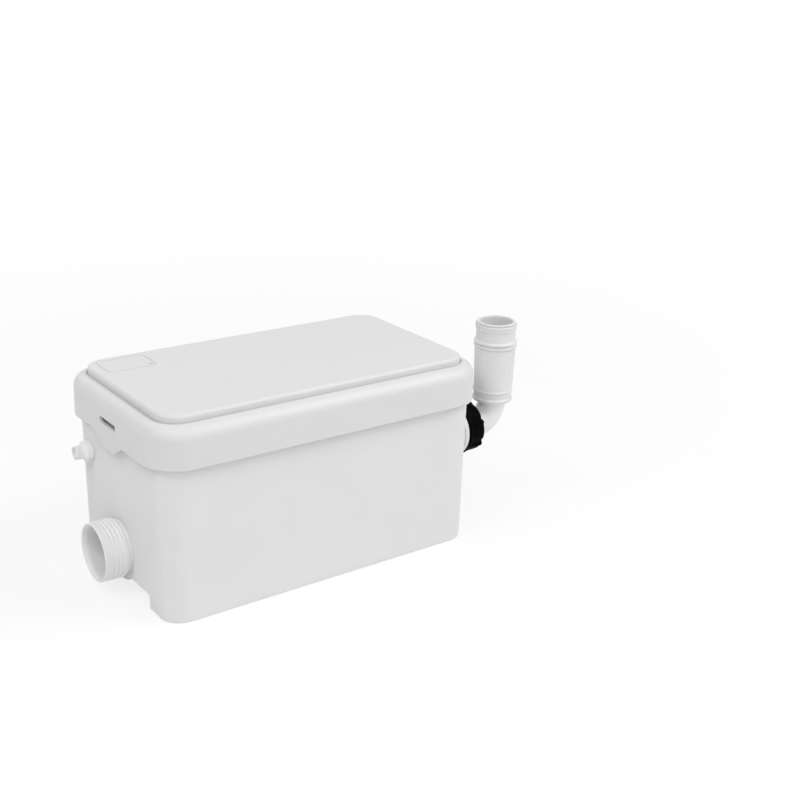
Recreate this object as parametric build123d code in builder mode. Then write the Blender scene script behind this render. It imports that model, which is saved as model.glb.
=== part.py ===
from build123d import *
import os
from math import radians, tan

os.makedirs("parts", exist_ok=True)

# Sewage lifting unit: a moulded tank that stands on its rim, a dry tray with the motor hung in it,
# a clip-on lid, a threaded inlet at one end and a swivelling discharge at the other.
# Millimetres, +Z up, origin on the floor under the middle of the tank, discharge end towards +X.

# Clearances
moving_gap = 0.3        # between pieces that move past each other
running_gap = 0.05      # round a shaft or a hinge pin in its hole
push_gap = 0.1          # between pieces pushed together
face_gap = 0.2          # between a flange and a slightly sloping wall
edge_break = 1.0        # chamfers on the larger turned pieces
small_break = 0.5       # chamfers on small turned pieces

# Tank
tank_length = 284.0
tank_width = 158.0
tank_corner = 18.0
tank_draft = 0.6
tank_wall = 3.0
base_edge_radius = 2.0
base_rim_width = 6.0
underside_depth = 4.0
ledge_width = 8.0
ledge_thickness = 5.0
arch_width = 91.0
arch_height = 13.0
arch_depth = 16.0
arch_corner = 4.0

# Lid
lid_end_overhang = 8.0
lid_side_overhang = 7.0
lid_overlap = 11.7      # how far the skirt hangs below the tank's top
lid_skirt_height = 32.3
lid_corner = 30.0
lid_draft = 1.0
lid_wall = 2.8
shoulder_radius = 10.0
groove_width = 1.2
groove_depth = 1.0
panel_inset = 11.9
panel_rise = 6.0
panel_edge_radius = 2.6
panel_inside_radius = 1.2
lid_rib_thickness = 2.5
lid_rib_depth = 10.0
lid_end_rib_spacing = 105.0

# Lid latches, one at each end
tongue_width = 52.0
tongue_tip_width = 21.0
tongue_drop = 9.3
tongue_offset = 1.5
tongue_tip_radius = 4.0
slot_width = 27.0
slot_height = 4.6
slot_rise = 12.8
slot_offset = -0.5
slot_corner = 1.0
hook_width = 18.0
hook_height = 2.0
hook_depth = 1.2
catch_height = 2.5

# Vent filter in the lid
filter_cover_length = 40.0
filter_cover_width = 28.0
filter_cover_thickness = 2.0
filter_cover_corner = 3.0
filter_end_inset = 41.0
filter_side_inset = 34.0
filter_ledge = 2.3
filter_thickness = 8.0
filter_pocket_depth = 11.5
filter_pocket_wall = 2.0
filter_dimple_radius = 2.0
filter_dimple_depth = 0.8
filter_vent_width = 2.5
filter_vent_count = 4
filter_well_corner = 1.0

# Inlet, G1-1/2 outside thread
inlet_radius = 23.9
inlet_wall = 3.0
inlet_relief = 0.8
inlet_relief_length = 2.0
inlet_y = 4.3
inlet_height = 33.4
inlet_reach = 22.7
inlet_lip = 3.0
inlet_seal_thickness = 2.0
inlet_boss_wall = 3.2
inlet_boss_reach = 20.0
inlet_port_radius = 19.9

# Flap valves
flap_thickness = 2.2
flap_overlap = 2.4
flap_cut = 1.8
flap_seat_height = 2.0
flap_seat_width = 1.9
flap_seat_gap = 0.1
flap_hinge_clearance = 1.1
inlet_knuckle_radius = 2.0
inlet_knuckle_length = 8.8
inlet_ear_width = 2.4
inlet_flap_pin_radius = 1.1
outlet_knuckle_radius = 1.5
outlet_knuckle_length = 6.6
outlet_ear_width = 1.8
outlet_flap_pin_radius = 0.8

# Vent spigot
vent_side_inset = 27.0
vent_drop = 40.0        # below the tank's top
vent_collar_radius = 8.5
vent_collar_length = 6.9
vent_tail_radius = 5.5
vent_tail_length = 6.3
vent_bore = 3.5
vent_stem_radius = 6.5
vent_clip_radius = 8.5
vent_clip_thickness = 2.0

# Discharge fitting through the tank's end wall
outlet_side_inset = 33.5
outlet_height = 87.7
outlet_thread_radius = 17.5
outlet_wall = 2.5
outlet_collar_radius = 21.5
outlet_collar_thickness = 3.6
outlet_pad_height = 2.6
outlet_pad_inside = 1.0
outlet_chamber_setback = 5.0
outlet_seal_thickness = 1.2
outlet_thread_reach = 14.0
outlet_backnut_radius = 23.0
outlet_backnut_thickness = 6.0
hose_tail_radius = 10.0
hose_tail_bore = 7.6

# Union nut, elbow and sleeve
union_nut_length = 17.6
union_nut_wide_radius = 22.5
union_nut_narrow_radius = 21.0
union_lug_count = 6
union_lug_radius = 1.4
union_lug_angle = 30.0
union_rim_length = 3.0
union_washer_thickness = 2.0
elbow_radius = 12.0
elbow_bore = 9.5
elbow_bend_radius = 20.0
elbow_straight = 4.3
elbow_flange_thickness = 3.5
elbow_flange_radius = 16.5
elbow_spigot_length = 22.0
sleeve_height = 71.5
sleeve_bore = 14.0
sleeve_foot_radius = 17.0
sleeve_body_radius = 17.9
sleeve_neck_radius = 17.2
sleeve_neck_length = 17.0
sleeve_collar_radius = 18.2
sleeve_collar_length = 6.5
sleeve_collar_groove = 3.4
sleeve_ridge_radius = 18.8
sleeve_ridge_width = 1.4
sleeve_ridge_drop = 18.1
sleeve_ridge_pitch = 3.2
sleeve_foot_bead = 0.4
sleeve_foot_bead_rise = 1.5
sleeve_foot_bead_pitch = 8.2
sleeve_stop = 2.0

# Dry tray that hangs in the tank's mouth
gasket_thickness = 2.0
tray_rim_thickness = 3.0
tray_depth = 25.0
tray_floor_gap = 4.3    # over the discharge fitting's back nut
tray_wall = 3.0
tray_gap = 1.5
tray_corner = 12.0

# Screws
screw_radius = 1.4
screw_head_radius = 2.9
screw_head_height = 2.0
screw_boss_radius = 3.4
screw_boss_length = 9.0
screw_hole_depth = 8.0
screw_bite = 7.0
rim_screw_spacing = 100.0
end_screw_spread = 70.0

# Motor
motor_radius = 44.0
motor_wall = 2.5
motor_flange_width = 9.0
motor_flange_thickness = 3.0
motor_floor = 4.0
motor_gasket_thickness = 1.5
motor_cap_height = 27.5
motor_cap_chamfer = 6.0
motor_can_chamfer = 2.0
motor_screw_count = 4
shaft_radius = 5.0
shaft_tip_radius = 4.0
rotor_shaft_radius = 7.0
bearing_radius = 15.0
bearing_width = 9.0
bearing_hub_wall = 3.0
seal_radius = 9.0
seal_height = 7.0
stator_length = 42.0
stator_bore = 25.0
rotor_air_gap = 0.5
winding_height = 12.0
winding_clearance = 2.0
winding_edge = 3.0
winding_wall_gap = 3.0
winding_bore_gap = 1.0

# Pump
strainer_radius = 30.0
strainer_height = 12.0
strainer_wall = 2.5
strainer_chamfer = 2.0
strainer_slot_count = 12
strainer_slot_width = 5.0
volute_height = 23.0
volute_wall = 3.0
volute_growth = 4.0
volute_throat_length = 42.0
volute_flange_thickness = 3.0
impeller_radius = 26.0
impeller_gap = 1.5
impeller_hub_rise = 2.0
impeller_disc_thickness = 2.5
impeller_hub_radius = 8.0
vane_count = 6
vane_thickness = 2.0
vane_sweep = 55.0
suction_eye_radius = 11.0
impeller_nut_height = 4.0
impeller_nut_radius = 5.5
impeller_nut_cap = 0.5

# Riser hose
hose_wall = 3.0
hose_bend_radius = 20.0
hose_grip = 11.0
hose_end_gap = 1.0
clip_width = 7.0
clip_thickness = 1.0
clip_screw_width = 7.0
clip_screw_height = 5.0

# Pressure switch over its air bell
bell_offset_x = -65.0
bell_radius = 16.0
bell_wall = 2.0
bell_floor_clearance = 18.0
bell_neck_radius = 6.0
bell_neck_bore = 2.0
bell_roof_gap = 1.0
switch_radius = 20.0
switch_base_height = 7.0
switch_rim = 2.0
switch_wall_gap = 2.0
switch_lip_width = 4.0
switch_ear_length = 13.0
diaphragm_thickness = 1.2
switch_cover_height = 4.0
plunger_radius = 2.6
plunger_plate_radius = 9.0
plunger_plate_thickness = 1.5
plunger_travel = 1.2
microswitch_length = 20.0
microswitch_width = 6.5
microswitch_height = 10.0
button_radius = 1.5
button_height = 1.5

# Electrics in the tray
capacitor_radius = 16.0
capacitor_length = 58.0
capacitor_wall_gap = 8.0
capacitor_side_gap = 2.0
capacitor_clip_foot = 3.0
capacitor_foot_thickness = 1.5
capacitor_stub_length = 2.0
terminal_length = 30.0
terminal_width = 18.0
terminal_height = 13.0
terminal_ways = 5
terminal_well_radius = 1.5
terminal_well_depth = 3.5
terminal_wall_gap = 14.0
lead_radius = 1.6
lead_spacing = 3.6
lead_bend_radius = 9.0
switch_lead_bend_radius = 18.0
lead_straight = 16.0
lead_boss_radius = 3.2
lead_boss_offset = 38.0
lead_boss_reach = 28.0
lead_boss_root = 11.0
capacitor_boss_offset = 31.0

# Cable gland in the rear wall
gland_x = 84.0
gland_radius = 6.5
gland_stem_radius = 5.0
gland_bore = 3.6
gland_head_length = 8.0
gland_nut_thickness = 4.0
gland_stem_end = 1.0
gland_dome = 2.0
gland_notch_gap = 1.5


# Half sizes of the tank's outside at a height
def half_length(height):
    return tank_length / 2 + height * tan(radians(tank_draft))


def half_width(height):
    return tank_width / 2 + height * tan(radians(tank_draft))


# Heights: the tray clears the discharge fitting, and the tank and the lid follow the tray
floor_top = underside_depth + tank_wall
tray_floor_base = outlet_height + outlet_backnut_radius + tray_floor_gap
tray_floor_top = tray_floor_base + tray_wall
tray_rim_base = tray_floor_base + tray_depth
tray_rim_top = tray_rim_base + tray_rim_thickness
tank_height = tray_rim_base - gasket_thickness
lid_rim_height = tank_height - lid_overlap
shoulder_height = lid_rim_height + lid_skirt_height
panel_height = shoulder_height + panel_rise
slot_centre_height = lid_rim_height + slot_rise
vent_height = tank_height - vent_drop
strainer_base = floor_top
volute_base = strainer_base + strainer_height
volute_top = volute_base + volute_height
motor_base = volute_top + volute_wall
motor_flange_base = tray_floor_top + motor_gasket_thickness
motor_flange_top = motor_flange_base + motor_flange_thickness
motor_cap_top = motor_flange_top + motor_cap_height
seal_top = motor_base + seal_height
lower_bearing_top = seal_top + bearing_width
winding_base = lower_bearing_top + winding_clearance
stator_base = winding_base + winding_height
stator_top = stator_base + stator_length
upper_bearing_top = motor_cap_top - motor_wall
upper_bearing_base = upper_bearing_top - bearing_width
bell_base = floor_top + bell_floor_clearance
gland_height = tank_height - ledge_thickness - gland_radius - moving_gap

# Plan sizes
lid_length = tank_length + 2 * lid_end_overhang
lid_width = tank_width + 2 * lid_side_overhang
rim_length = 2 * half_length(tank_height)
rim_width = 2 * half_width(tank_height)
rim_corner = tank_corner + tank_height * tan(radians(tank_draft))
mouth_length = rim_length - 2 * ledge_width
mouth_width = rim_width - 2 * ledge_width
mouth_corner = rim_corner - ledge_width
tub_length = mouth_length - 2 * tray_gap
tub_width = mouth_width - 2 * tray_gap

# Places across the unit, kept from the nearest wall
vent_y = tank_width / 2 - vent_side_inset
outlet_y = outlet_side_inset - tank_width / 2
filter_x = filter_end_inset - lid_length / 2
filter_y = lid_width / 2 - filter_side_inset

# Places along the inlet
inlet_bore = inlet_radius - inlet_wall
inlet_rim_x = -tank_length / 2 - inlet_reach
inlet_relief_x = -tank_length / 2 - inlet_relief_length
inlet_boss_x = -tank_length / 2 + inlet_boss_reach
inlet_inner_x = inlet_boss_x - inlet_lip - inlet_seal_thickness

# Places along the discharge
outlet_pad_x = tank_length / 2 + outlet_pad_height
outlet_collar_x = outlet_pad_x + outlet_seal_thickness
union_start_x = outlet_collar_x + outlet_collar_thickness
outlet_tip_x = outlet_pad_x + outlet_thread_reach
union_end_x = union_start_x + union_nut_length
elbow_flange_x = outlet_tip_x + union_washer_thickness
sleeve_x = union_end_x + elbow_straight + elbow_bend_radius
sleeve_base = outlet_height + elbow_bend_radius + moving_gap
outlet_inner_face = half_length(outlet_height) - tank_wall - outlet_pad_inside
outlet_seat_x = outlet_inner_face - outlet_backnut_thickness - outlet_chamber_setback
outlet_chamber_bore = outlet_thread_radius - outlet_wall
chamber_wall_x = outlet_seat_x - tank_wall

# Riser and pump places, worked back from the discharge
riser_x = chamber_wall_x - hose_end_gap - hose_grip - hose_bend_radius
pump_x = riser_x - hose_bend_radius - hose_grip - hose_end_gap - volute_throat_length
spiral_radius = impeller_radius + 2.0
throat_radius = spiral_radius + 1.5 * volute_growth
pump_y = outlet_y + throat_radius
throat_height = (volute_base + volute_wall + volute_top) / 2
motor_flange_radius = motor_radius + motor_flange_width
motor_screw_circle = motor_radius + motor_flange_width / 2
volute_flange_radius = motor_radius
bell_x = pump_x + bell_offset_x
bell_y = tub_width / 2 - tray_wall - switch_radius - switch_wall_gap
capacitor_x = -tub_length / 2 + tray_wall + capacitor_wall_gap + capacitor_length / 2
capacitor_reach = capacitor_radius + capacitor_clip_foot
capacitor_y = tray_wall + capacitor_side_gap + capacitor_reach - tub_width / 2
terminal_x = tub_length / 2 - tray_wall - terminal_wall_gap - terminal_length / 2

# Places of the leads and of the bosses that they enter on the motor's cap
lead_height = motor_flange_top + motor_flange_thickness + lead_radius + moving_gap
terminal_y = bell_y
motor_lead_y = terminal_y - lead_spacing
lead_boss_x = pump_x + lead_boss_offset
lead_boss_face = pump_y + lead_boss_reach
capacitor_boss_face = pump_x - capacitor_boss_offset

# Axes of the turned pieces: each plane's z runs along the piece
inlet_axis = Plane(origin=(0, inlet_y, inlet_height), x_dir=(0, 1, 0), z_dir=(1, 0, 0))
vent_axis = Plane(origin=(0, vent_y, vent_height), x_dir=(0, 1, 0), z_dir=(1, 0, 0))
outlet_axis = Plane(origin=(0, outlet_y, outlet_height), x_dir=(0, 1, 0), z_dir=(1, 0, 0))
throat_axis = Plane(origin=(0, outlet_y, throat_height), x_dir=(0, 1, 0), z_dir=(1, 0, 0))
sleeve_axis = Plane(origin=(sleeve_x, outlet_y, 0))
pump_axis = Plane(origin=(pump_x, pump_y, 0))
bell_axis = Plane(origin=(bell_x, bell_y, 0))
gland_axis = Plane(origin=(gland_x, 0, gland_height), x_dir=(1, 0, 0), z_dir=(0, 1, 0))
capacitor_axis = Plane(
    origin=(0, capacitor_y, tray_floor_top + capacitor_radius + push_gap + clip_thickness),
    x_dir=(0, 1, 0),
    z_dir=(1, 0, 0),
)


# A turned form: its half section is a closed run of (distance along the axis, radius) points
def turn(axis_plane, *profile, mode=Mode.ADD):
    section_plane = Plane(
        origin=axis_plane.origin, x_dir=axis_plane.z_dir, z_dir=axis_plane.y_dir
    )
    with BuildSketch(section_plane) as section:
        with BuildLine():
            Polyline(*profile, close=True)
        make_face()
    revolve(section.sketch, axis=Axis(axis_plane.origin, axis_plane.z_dir), mode=mode)


# A plain round length along an axis
def round_bar(axis_plane, start, end, radius, mode=Mode.ADD):
    with Locations(axis_plane.offset(start)):
        Cylinder(radius, end - start, align=(Align.CENTER, Align.CENTER, Align.MIN), mode=mode)


def tube(axis_plane, start, end, outer, inner):
    turn(axis_plane, (start, inner), (end, inner), (end, outer), (start, outer))


# A round pipe or lead along straight runs with a tangent arc at each corner
def pipe(points, bend, outer, inner=0):
    with BuildLine() as path:
        FilletPolyline(*points, radius=bend)
    first_run = Vector(points[1]) - Vector(points[0])
    with BuildSketch(Plane(origin=points[0], z_dir=first_run)) as section:
        Circle(outer)
        if inner:
            Circle(inner, mode=Mode.SUBTRACT)
    sweep(section.sketch, path=path.line)


# A flat rounded plate or block between two heights
def slab(base, top, length, width, corner, centre=(0, 0), mode=Mode.ADD):
    with BuildSketch(Plane.XY.offset(base)) as outline:
        with Locations(centre):
            RectangleRounded(length, width, corner)
    extrude(outline.sketch, amount=top - base, mode=mode)


# A box given by its lowest and highest corners
def block(low, high, mode=Mode.ADD):
    centre = tuple((a + b) / 2 for a, b in zip(low, high))
    with Locations(centre):
        Box(*(b - a for a, b in zip(low, high)), mode=mode)


# Pan-headed screws under the present locations, heads standing on their plane
def screws(length):
    Cylinder(screw_radius, length, align=(Align.CENTER, Align.CENTER, Align.MAX))
    Cylinder(screw_head_radius, screw_head_height, align=(Align.CENTER, Align.CENTER, Align.MIN))


# Lugs that carry the screws of the motor and the pump, standing out from a disc
def lugs(height):
    with PolarLocations(motor_radius, motor_screw_count):
        Box(
            motor_flange_width,
            motor_flange_width,
            height,
            align=(Align.CENTER, Align.CENTER, Align.MIN),
        )
    with PolarLocations(motor_screw_circle, motor_screw_count):
        Cylinder(
            motor_flange_width / 2, height, align=(Align.CENTER, Align.CENTER, Align.MIN)
        )


def finish(builder, name):
    builder.part.label = name
    export_step(builder.part, f"parts/{name}.step")


# Screws round the rim of the tank
side_screw_y = rim_width / 2 - ledge_width / 2
end_screw_x = rim_length / 2 - ledge_width / 2
rim_screw_places = [
    (x, side * side_screw_y)
    for x in (-rim_screw_spacing, 0, rim_screw_spacing)
    for side in (-1, 1)
] + [
    (side * end_screw_x, y)
    for side in (-1, 1)
    for y in (-end_screw_spread / 2, end_screw_spread / 2)
]


# Flap valve hinge places, worked out from the port that the flap covers
class FlapPlace:
    def __init__(self, axis_plane, seat_x, port, knuckle, knuckle_length, ear_width, pin):
        self.axis_plane = axis_plane
        self.seat_x = seat_x
        self.port = port
        self.knuckle = knuckle
        self.pin = pin
        self.radius = port + flap_overlap
        self.cut = port + flap_cut
        self.hinge_rise = self.cut + knuckle + flap_hinge_clearance
        self.hinge_x = seat_x + knuckle + moving_gap
        self.hinge_z = axis_plane.origin.Z + self.hinge_rise
        self.y = axis_plane.origin.Y
        self.half_knuckle = knuckle_length / 2
        self.ear_start = self.half_knuckle + moving_gap
        self.ear_end = self.ear_start + ear_width
        self.face_x = seat_x + flap_seat_height + flap_seat_gap
        self.pin_plane = Plane(
            origin=(self.hinge_x, self.y, self.hinge_z), x_dir=(1, 0, 0), z_dir=(0, 1, 0)
        )


inlet_flap_place = FlapPlace(
    inlet_axis,
    inlet_boss_x,
    inlet_port_radius,
    inlet_knuckle_radius,
    inlet_knuckle_length,
    inlet_ear_width,
    inlet_flap_pin_radius,
)
outlet_flap_place = FlapPlace(
    outlet_axis,
    outlet_seat_x,
    hose_tail_bore,
    outlet_knuckle_radius,
    outlet_knuckle_length,
    outlet_ear_width,
    outlet_flap_pin_radius,
)


# Raised seat and hinge ears, made with the piece that carries the flap
def flap_seat(place, ear_root):
    tube(
        place.axis_plane,
        place.seat_x - edge_break,
        place.seat_x + flap_seat_height,
        place.port + flap_seat_width,
        place.port,
    )
    for side in (-1, 1):
        near, far = sorted((side * place.ear_start, side * place.ear_end))
        block(
            (place.seat_x - ear_root, place.y + near, place.hinge_z - place.knuckle),
            (place.hinge_x + place.knuckle, place.y + far, place.hinge_z + place.knuckle),
        )
    round_bar(
        place.pin_plane,
        -place.ear_end - edge_break,
        place.ear_end + edge_break,
        place.pin,
        mode=Mode.SUBTRACT,
    )


def flap_pin(place):
    round_bar(place.pin_plane, -place.ear_end, place.ear_end, place.pin)


# The flap is a disc with a flat cut at the top and a tab up to its hinge knuckle
def flap(place):
    with BuildSketch(place.axis_plane.offset(place.face_x)) as outline:
        Circle(place.radius)
        with Locations((0, place.cut + place.radius)):
            Rectangle(4 * place.radius, 2 * place.radius, mode=Mode.SUBTRACT)
        with Locations((0, place.hinge_rise / 2 + place.port / 2)):
            Rectangle(2 * place.half_knuckle, place.hinge_rise - place.port)
    extrude(outline.sketch, amount=flap_thickness)
    round_bar(place.pin_plane, -place.half_knuckle, place.half_knuckle, place.knuckle)
    round_bar(
        place.pin_plane,
        -place.half_knuckle,
        place.half_knuckle,
        place.pin + running_gap,
        mode=Mode.SUBTRACT,
    )


# Tank: drafted walls, a ledge round the mouth, a shallow hollow under the floor and an arch at the inlet end
with BuildPart() as tank:
    with BuildSketch():
        RectangleRounded(tank_length, tank_width, tank_corner)
    extrude(amount=tank_height, taper=-tank_draft)
    fillet(tank.edges().group_by(Axis.Z)[0], base_edge_radius)
    with BuildSketch(Plane.XY.offset(floor_top)):
        RectangleRounded(
            2 * (half_length(floor_top) - tank_wall),
            2 * (half_width(floor_top) - tank_wall),
            tank_corner - tank_wall,
        )
    extrude(
        amount=tank_height - ledge_thickness - floor_top, taper=-tank_draft, mode=Mode.SUBTRACT
    )
    slab(
        tank_height - ledge_thickness,
        tank_height,
        mouth_length,
        mouth_width,
        mouth_corner,
        mode=Mode.SUBTRACT,
    )
    slab(
        0,
        underside_depth,
        tank_length - 2 * base_rim_width,
        tank_width - 2 * base_rim_width,
        tank_corner - base_rim_width,
        mode=Mode.SUBTRACT,
    )
    # Step over the arch, then the arch itself
    block(
        (-tank_length / 2 + tank_wall / 2, -arch_width / 2 - tank_wall, underside_depth),
        (
            -tank_length / 2 + arch_depth + tank_wall,
            arch_width / 2 + tank_wall,
            arch_height + tank_wall,
        ),
    )
    with BuildSketch(Plane.YZ.offset(-tank_length / 2 - tank_wall)):
        RectangleRounded(arch_width, 2 * arch_height, arch_corner)
    extrude(amount=arch_depth + tank_wall, mode=Mode.SUBTRACT)
    # Inlet boss, its bore, its lip and the flap's seat
    round_bar(
        inlet_axis,
        -tank_length / 2,
        inlet_boss_x,
        inlet_radius + push_gap + inlet_boss_wall,
    )
    flap_seat(inlet_flap_place, inlet_lip)
    round_bar(
        inlet_axis,
        -tank_length / 2 - tank_wall,
        inlet_boss_x - inlet_lip,
        inlet_radius - inlet_relief + push_gap,
        mode=Mode.SUBTRACT,
    )
    round_bar(
        inlet_axis,
        inlet_boss_x - 2 * inlet_lip,
        inlet_boss_x,
        inlet_port_radius,
        mode=Mode.SUBTRACT,
    )
    # Hole for the vent spigot
    round_bar(
        vent_axis,
        -half_length(vent_height) - tank_wall,
        -half_length(vent_height) + 2 * tank_wall,
        vent_stem_radius + push_gap,
        mode=Mode.SUBTRACT,
    )
    # Pads inside and outside the discharge hole, flat across the drafted wall
    round_bar(outlet_axis, outlet_inner_face, outlet_pad_x, outlet_collar_radius)
    round_bar(
        outlet_axis,
        outlet_inner_face - tank_wall,
        outlet_pad_x + tank_wall,
        outlet_thread_radius + push_gap,
        mode=Mode.SUBTRACT,
    )
    # Catches for the lid's latches
    for side in (-1, 1):
        wall_x = side * (tank_length / 2)
        catch_x = side * (lid_length / 2 - lid_wall - hook_depth - moving_gap)
        low_x, high_x = sorted((wall_x, catch_x))
        catch_base = lid_rim_height - tongue_drop + hook_height + 2 * moving_gap
        block(
            (low_x, tongue_offset - hook_width / 2, catch_base),
            (high_x, tongue_offset + hook_width / 2, catch_base + catch_height),
        )
    # Screw bosses under the ledge
    with Locations(Plane.XY.offset(tank_height)):
        with Locations(*rim_screw_places):
            Cylinder(
                screw_boss_radius,
                ledge_thickness + screw_boss_length,
                align=(Align.CENTER, Align.CENTER, Align.MAX),
            )
            Cylinder(
                screw_radius + running_gap,
                ledge_thickness + screw_hole_depth,
                align=(Align.CENTER, Align.CENTER, Align.MAX),
                mode=Mode.SUBTRACT,
            )
    # Hole for the cable gland in the rear wall
    round_bar(
        gland_axis,
        tank_width / 2 - 2 * tank_wall,
        tank_width / 2 + 2 * tank_wall,
        gland_stem_radius + push_gap,
        mode=Mode.SUBTRACT,
    )
finish(tank, "tank")

# Hollow of the lid: all that is cut from under it, less the ribs that rest on the tray
with BuildPart() as lid_hollow:
    with BuildSketch(Plane.XY.offset(lid_rim_height)):
        RectangleRounded(
            lid_length - 2 * lid_wall, lid_width - 2 * lid_wall, lid_corner - lid_wall
        )
    extrude(amount=shoulder_height - lid_wall - lid_rim_height, taper=lid_draft)
    fillet(lid_hollow.edges().group_by(Axis.Z)[-1], shoulder_radius - lid_wall)
    panel_hollow = panel_inset + lid_wall
    slab(
        shoulder_height - 2 * lid_wall,
        panel_height - lid_wall,
        lid_length - 2 * panel_hollow,
        lid_width - 2 * panel_hollow,
        lid_corner - panel_hollow,
    )
    fillet(lid_hollow.edges().group_by(Axis.Z)[-1], panel_inside_radius)
    for side in (-1, 1):
        for x in (-rim_screw_spacing / 2, rim_screw_spacing / 2):
            near, far = sorted((side * lid_width / 2, side * (lid_width / 2 - lid_rib_depth)))
            block(
                (x - lid_rib_thickness / 2, near, tray_rim_top),
                (x + lid_rib_thickness / 2, far, panel_height),
                mode=Mode.SUBTRACT,
            )
        for y in (-lid_end_rib_spacing / 2, lid_end_rib_spacing / 2):
            near, far = sorted((side * lid_length / 2, side * (lid_length / 2 - lid_rib_depth)))
            block(
                (near, y - lid_rib_thickness / 2, tray_rim_top),
                (far, y + lid_rib_thickness / 2, panel_height),
                mode=Mode.SUBTRACT,
            )
    # Walls and floor of the filter pocket
    slab(
        panel_height - filter_cover_thickness - filter_pocket_depth,
        panel_height,
        filter_cover_length + 2 * filter_pocket_wall,
        filter_cover_width + 2 * filter_pocket_wall,
        filter_cover_corner + filter_pocket_wall,
        centre=(filter_x, filter_y),
        mode=Mode.SUBTRACT,
    )

# Lid: drafted skirt, rolled shoulder, a fine groove and a raised panel, with a latch tongue at each end
with BuildPart() as lid:
    with BuildSketch(Plane.XY.offset(lid_rim_height)):
        RectangleRounded(lid_length, lid_width, lid_corner)
    extrude(amount=shoulder_height - lid_rim_height, taper=lid_draft)
    fillet(lid.edges().group_by(Axis.Z)[-1], shoulder_radius)
    with BuildSketch(Plane.XY.offset(shoulder_height)):
        groove_inset = panel_inset - groove_width
        RectangleRounded(
            lid_length - 2 * groove_inset, lid_width - 2 * groove_inset, lid_corner - groove_inset
        )
    extrude(amount=-groove_depth, mode=Mode.SUBTRACT)
    slab(
        shoulder_height - groove_depth,
        panel_height,
        lid_length - 2 * panel_inset,
        lid_width - 2 * panel_inset,
        lid_corner - panel_inset,
    )
    fillet(lid.edges().group_by(Axis.Z)[-1], panel_edge_radius)
    add(lid_hollow.part, mode=Mode.SUBTRACT)
    # Filter pocket: a seat for the cover, the well for the filter and its vents
    slab(
        panel_height - filter_cover_thickness,
        panel_height,
        filter_cover_length + 2 * moving_gap,
        filter_cover_width + 2 * moving_gap,
        filter_cover_corner + moving_gap,
        centre=(filter_x, filter_y),
        mode=Mode.SUBTRACT,
    )
    well_floor = panel_height - filter_cover_thickness - filter_pocket_depth + filter_pocket_wall
    slab(
        well_floor,
        panel_height,
        filter_cover_length - 2 * filter_ledge,
        filter_cover_width - 2 * filter_ledge,
        filter_well_corner,
        centre=(filter_x, filter_y),
        mode=Mode.SUBTRACT,
    )
    with Locations((filter_x, filter_y, well_floor)):
        with GridLocations(filter_cover_length / (filter_vent_count + 1), 0, filter_vent_count, 1):
            Box(
                filter_vent_width,
                filter_cover_width - 4 * filter_ledge,
                4 * filter_pocket_wall,
                mode=Mode.SUBTRACT,
            )
    # Latch tongues and the slots above them
    for side in (-1, 1):
        with BuildSketch(Plane.YZ.offset(side * lid_length / 2)):
            with BuildLine():
                Polyline(
                    (tongue_offset - tongue_width / 2, lid_rim_height),
                    (tongue_offset - tongue_tip_width / 2, lid_rim_height - tongue_drop),
                    (tongue_offset + tongue_tip_width / 2, lid_rim_height - tongue_drop),
                    (tongue_offset + tongue_width / 2, lid_rim_height),
                    close=True,
                )
            make_face()
            tip_corners = vertices().group_by(Axis.Y)[0]
            fillet(tip_corners, tongue_tip_radius)
        extrude(amount=-side * lid_wall)
        hook_inner = side * (lid_length / 2 - lid_wall - hook_depth)
        low_x, high_x = sorted((side * (lid_length / 2 - lid_wall), hook_inner))
        tongue_tip = lid_rim_height - tongue_drop
        block(
            (low_x, tongue_offset - hook_width / 2, tongue_tip),
            (high_x, tongue_offset + hook_width / 2, tongue_tip + hook_height),
        )
        with BuildSketch(Plane.YZ.offset(side * (lid_length / 2 + lid_wall))):
            with Locations((slot_offset, slot_centre_height)):
                RectangleRounded(slot_width, slot_height, slot_corner)
        extrude(amount=-side * 3 * lid_wall, mode=Mode.SUBTRACT)
    # Notch in the rear skirt for the cable gland
    notch_radius = gland_radius + gland_notch_gap
    with BuildSketch(Plane.XZ.offset(-lid_width / 2 + 2 * lid_wall)):
        with Locations((gland_x, gland_height)):
            Circle(notch_radius)
        with Locations((gland_x, gland_height - tongue_drop / 2)):
            Rectangle(2 * notch_radius, tongue_drop)
    extrude(amount=-4 * lid_wall, mode=Mode.SUBTRACT)
finish(lid, "lid")

# Cover of the vent filter, flush in the lid's panel
with BuildPart() as filter_cover:
    slab(
        panel_height - filter_cover_thickness,
        panel_height,
        filter_cover_length,
        filter_cover_width,
        filter_cover_corner,
        centre=(filter_x, filter_y),
    )
    dimple_inset = filter_cover_corner + filter_dimple_radius / 2
    with Locations(
        (
            filter_x + filter_cover_length / 2 - dimple_inset,
            filter_y - filter_cover_width / 2 + dimple_inset,
            panel_height,
        )
    ):
        Cylinder(filter_dimple_radius, 2 * filter_dimple_depth, mode=Mode.SUBTRACT)
finish(filter_cover, "filter_cover")

# Carbon filter pad in its well
with BuildPart() as carbon_filter:
    slab(
        well_floor,
        well_floor + filter_thickness,
        filter_cover_length - 2 * filter_ledge - 2 * push_gap,
        filter_cover_width - 2 * filter_ledge - 2 * push_gap,
        filter_well_corner,
        centre=(filter_x, filter_y),
    )
finish(carbon_filter, "carbon_filter")

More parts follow.
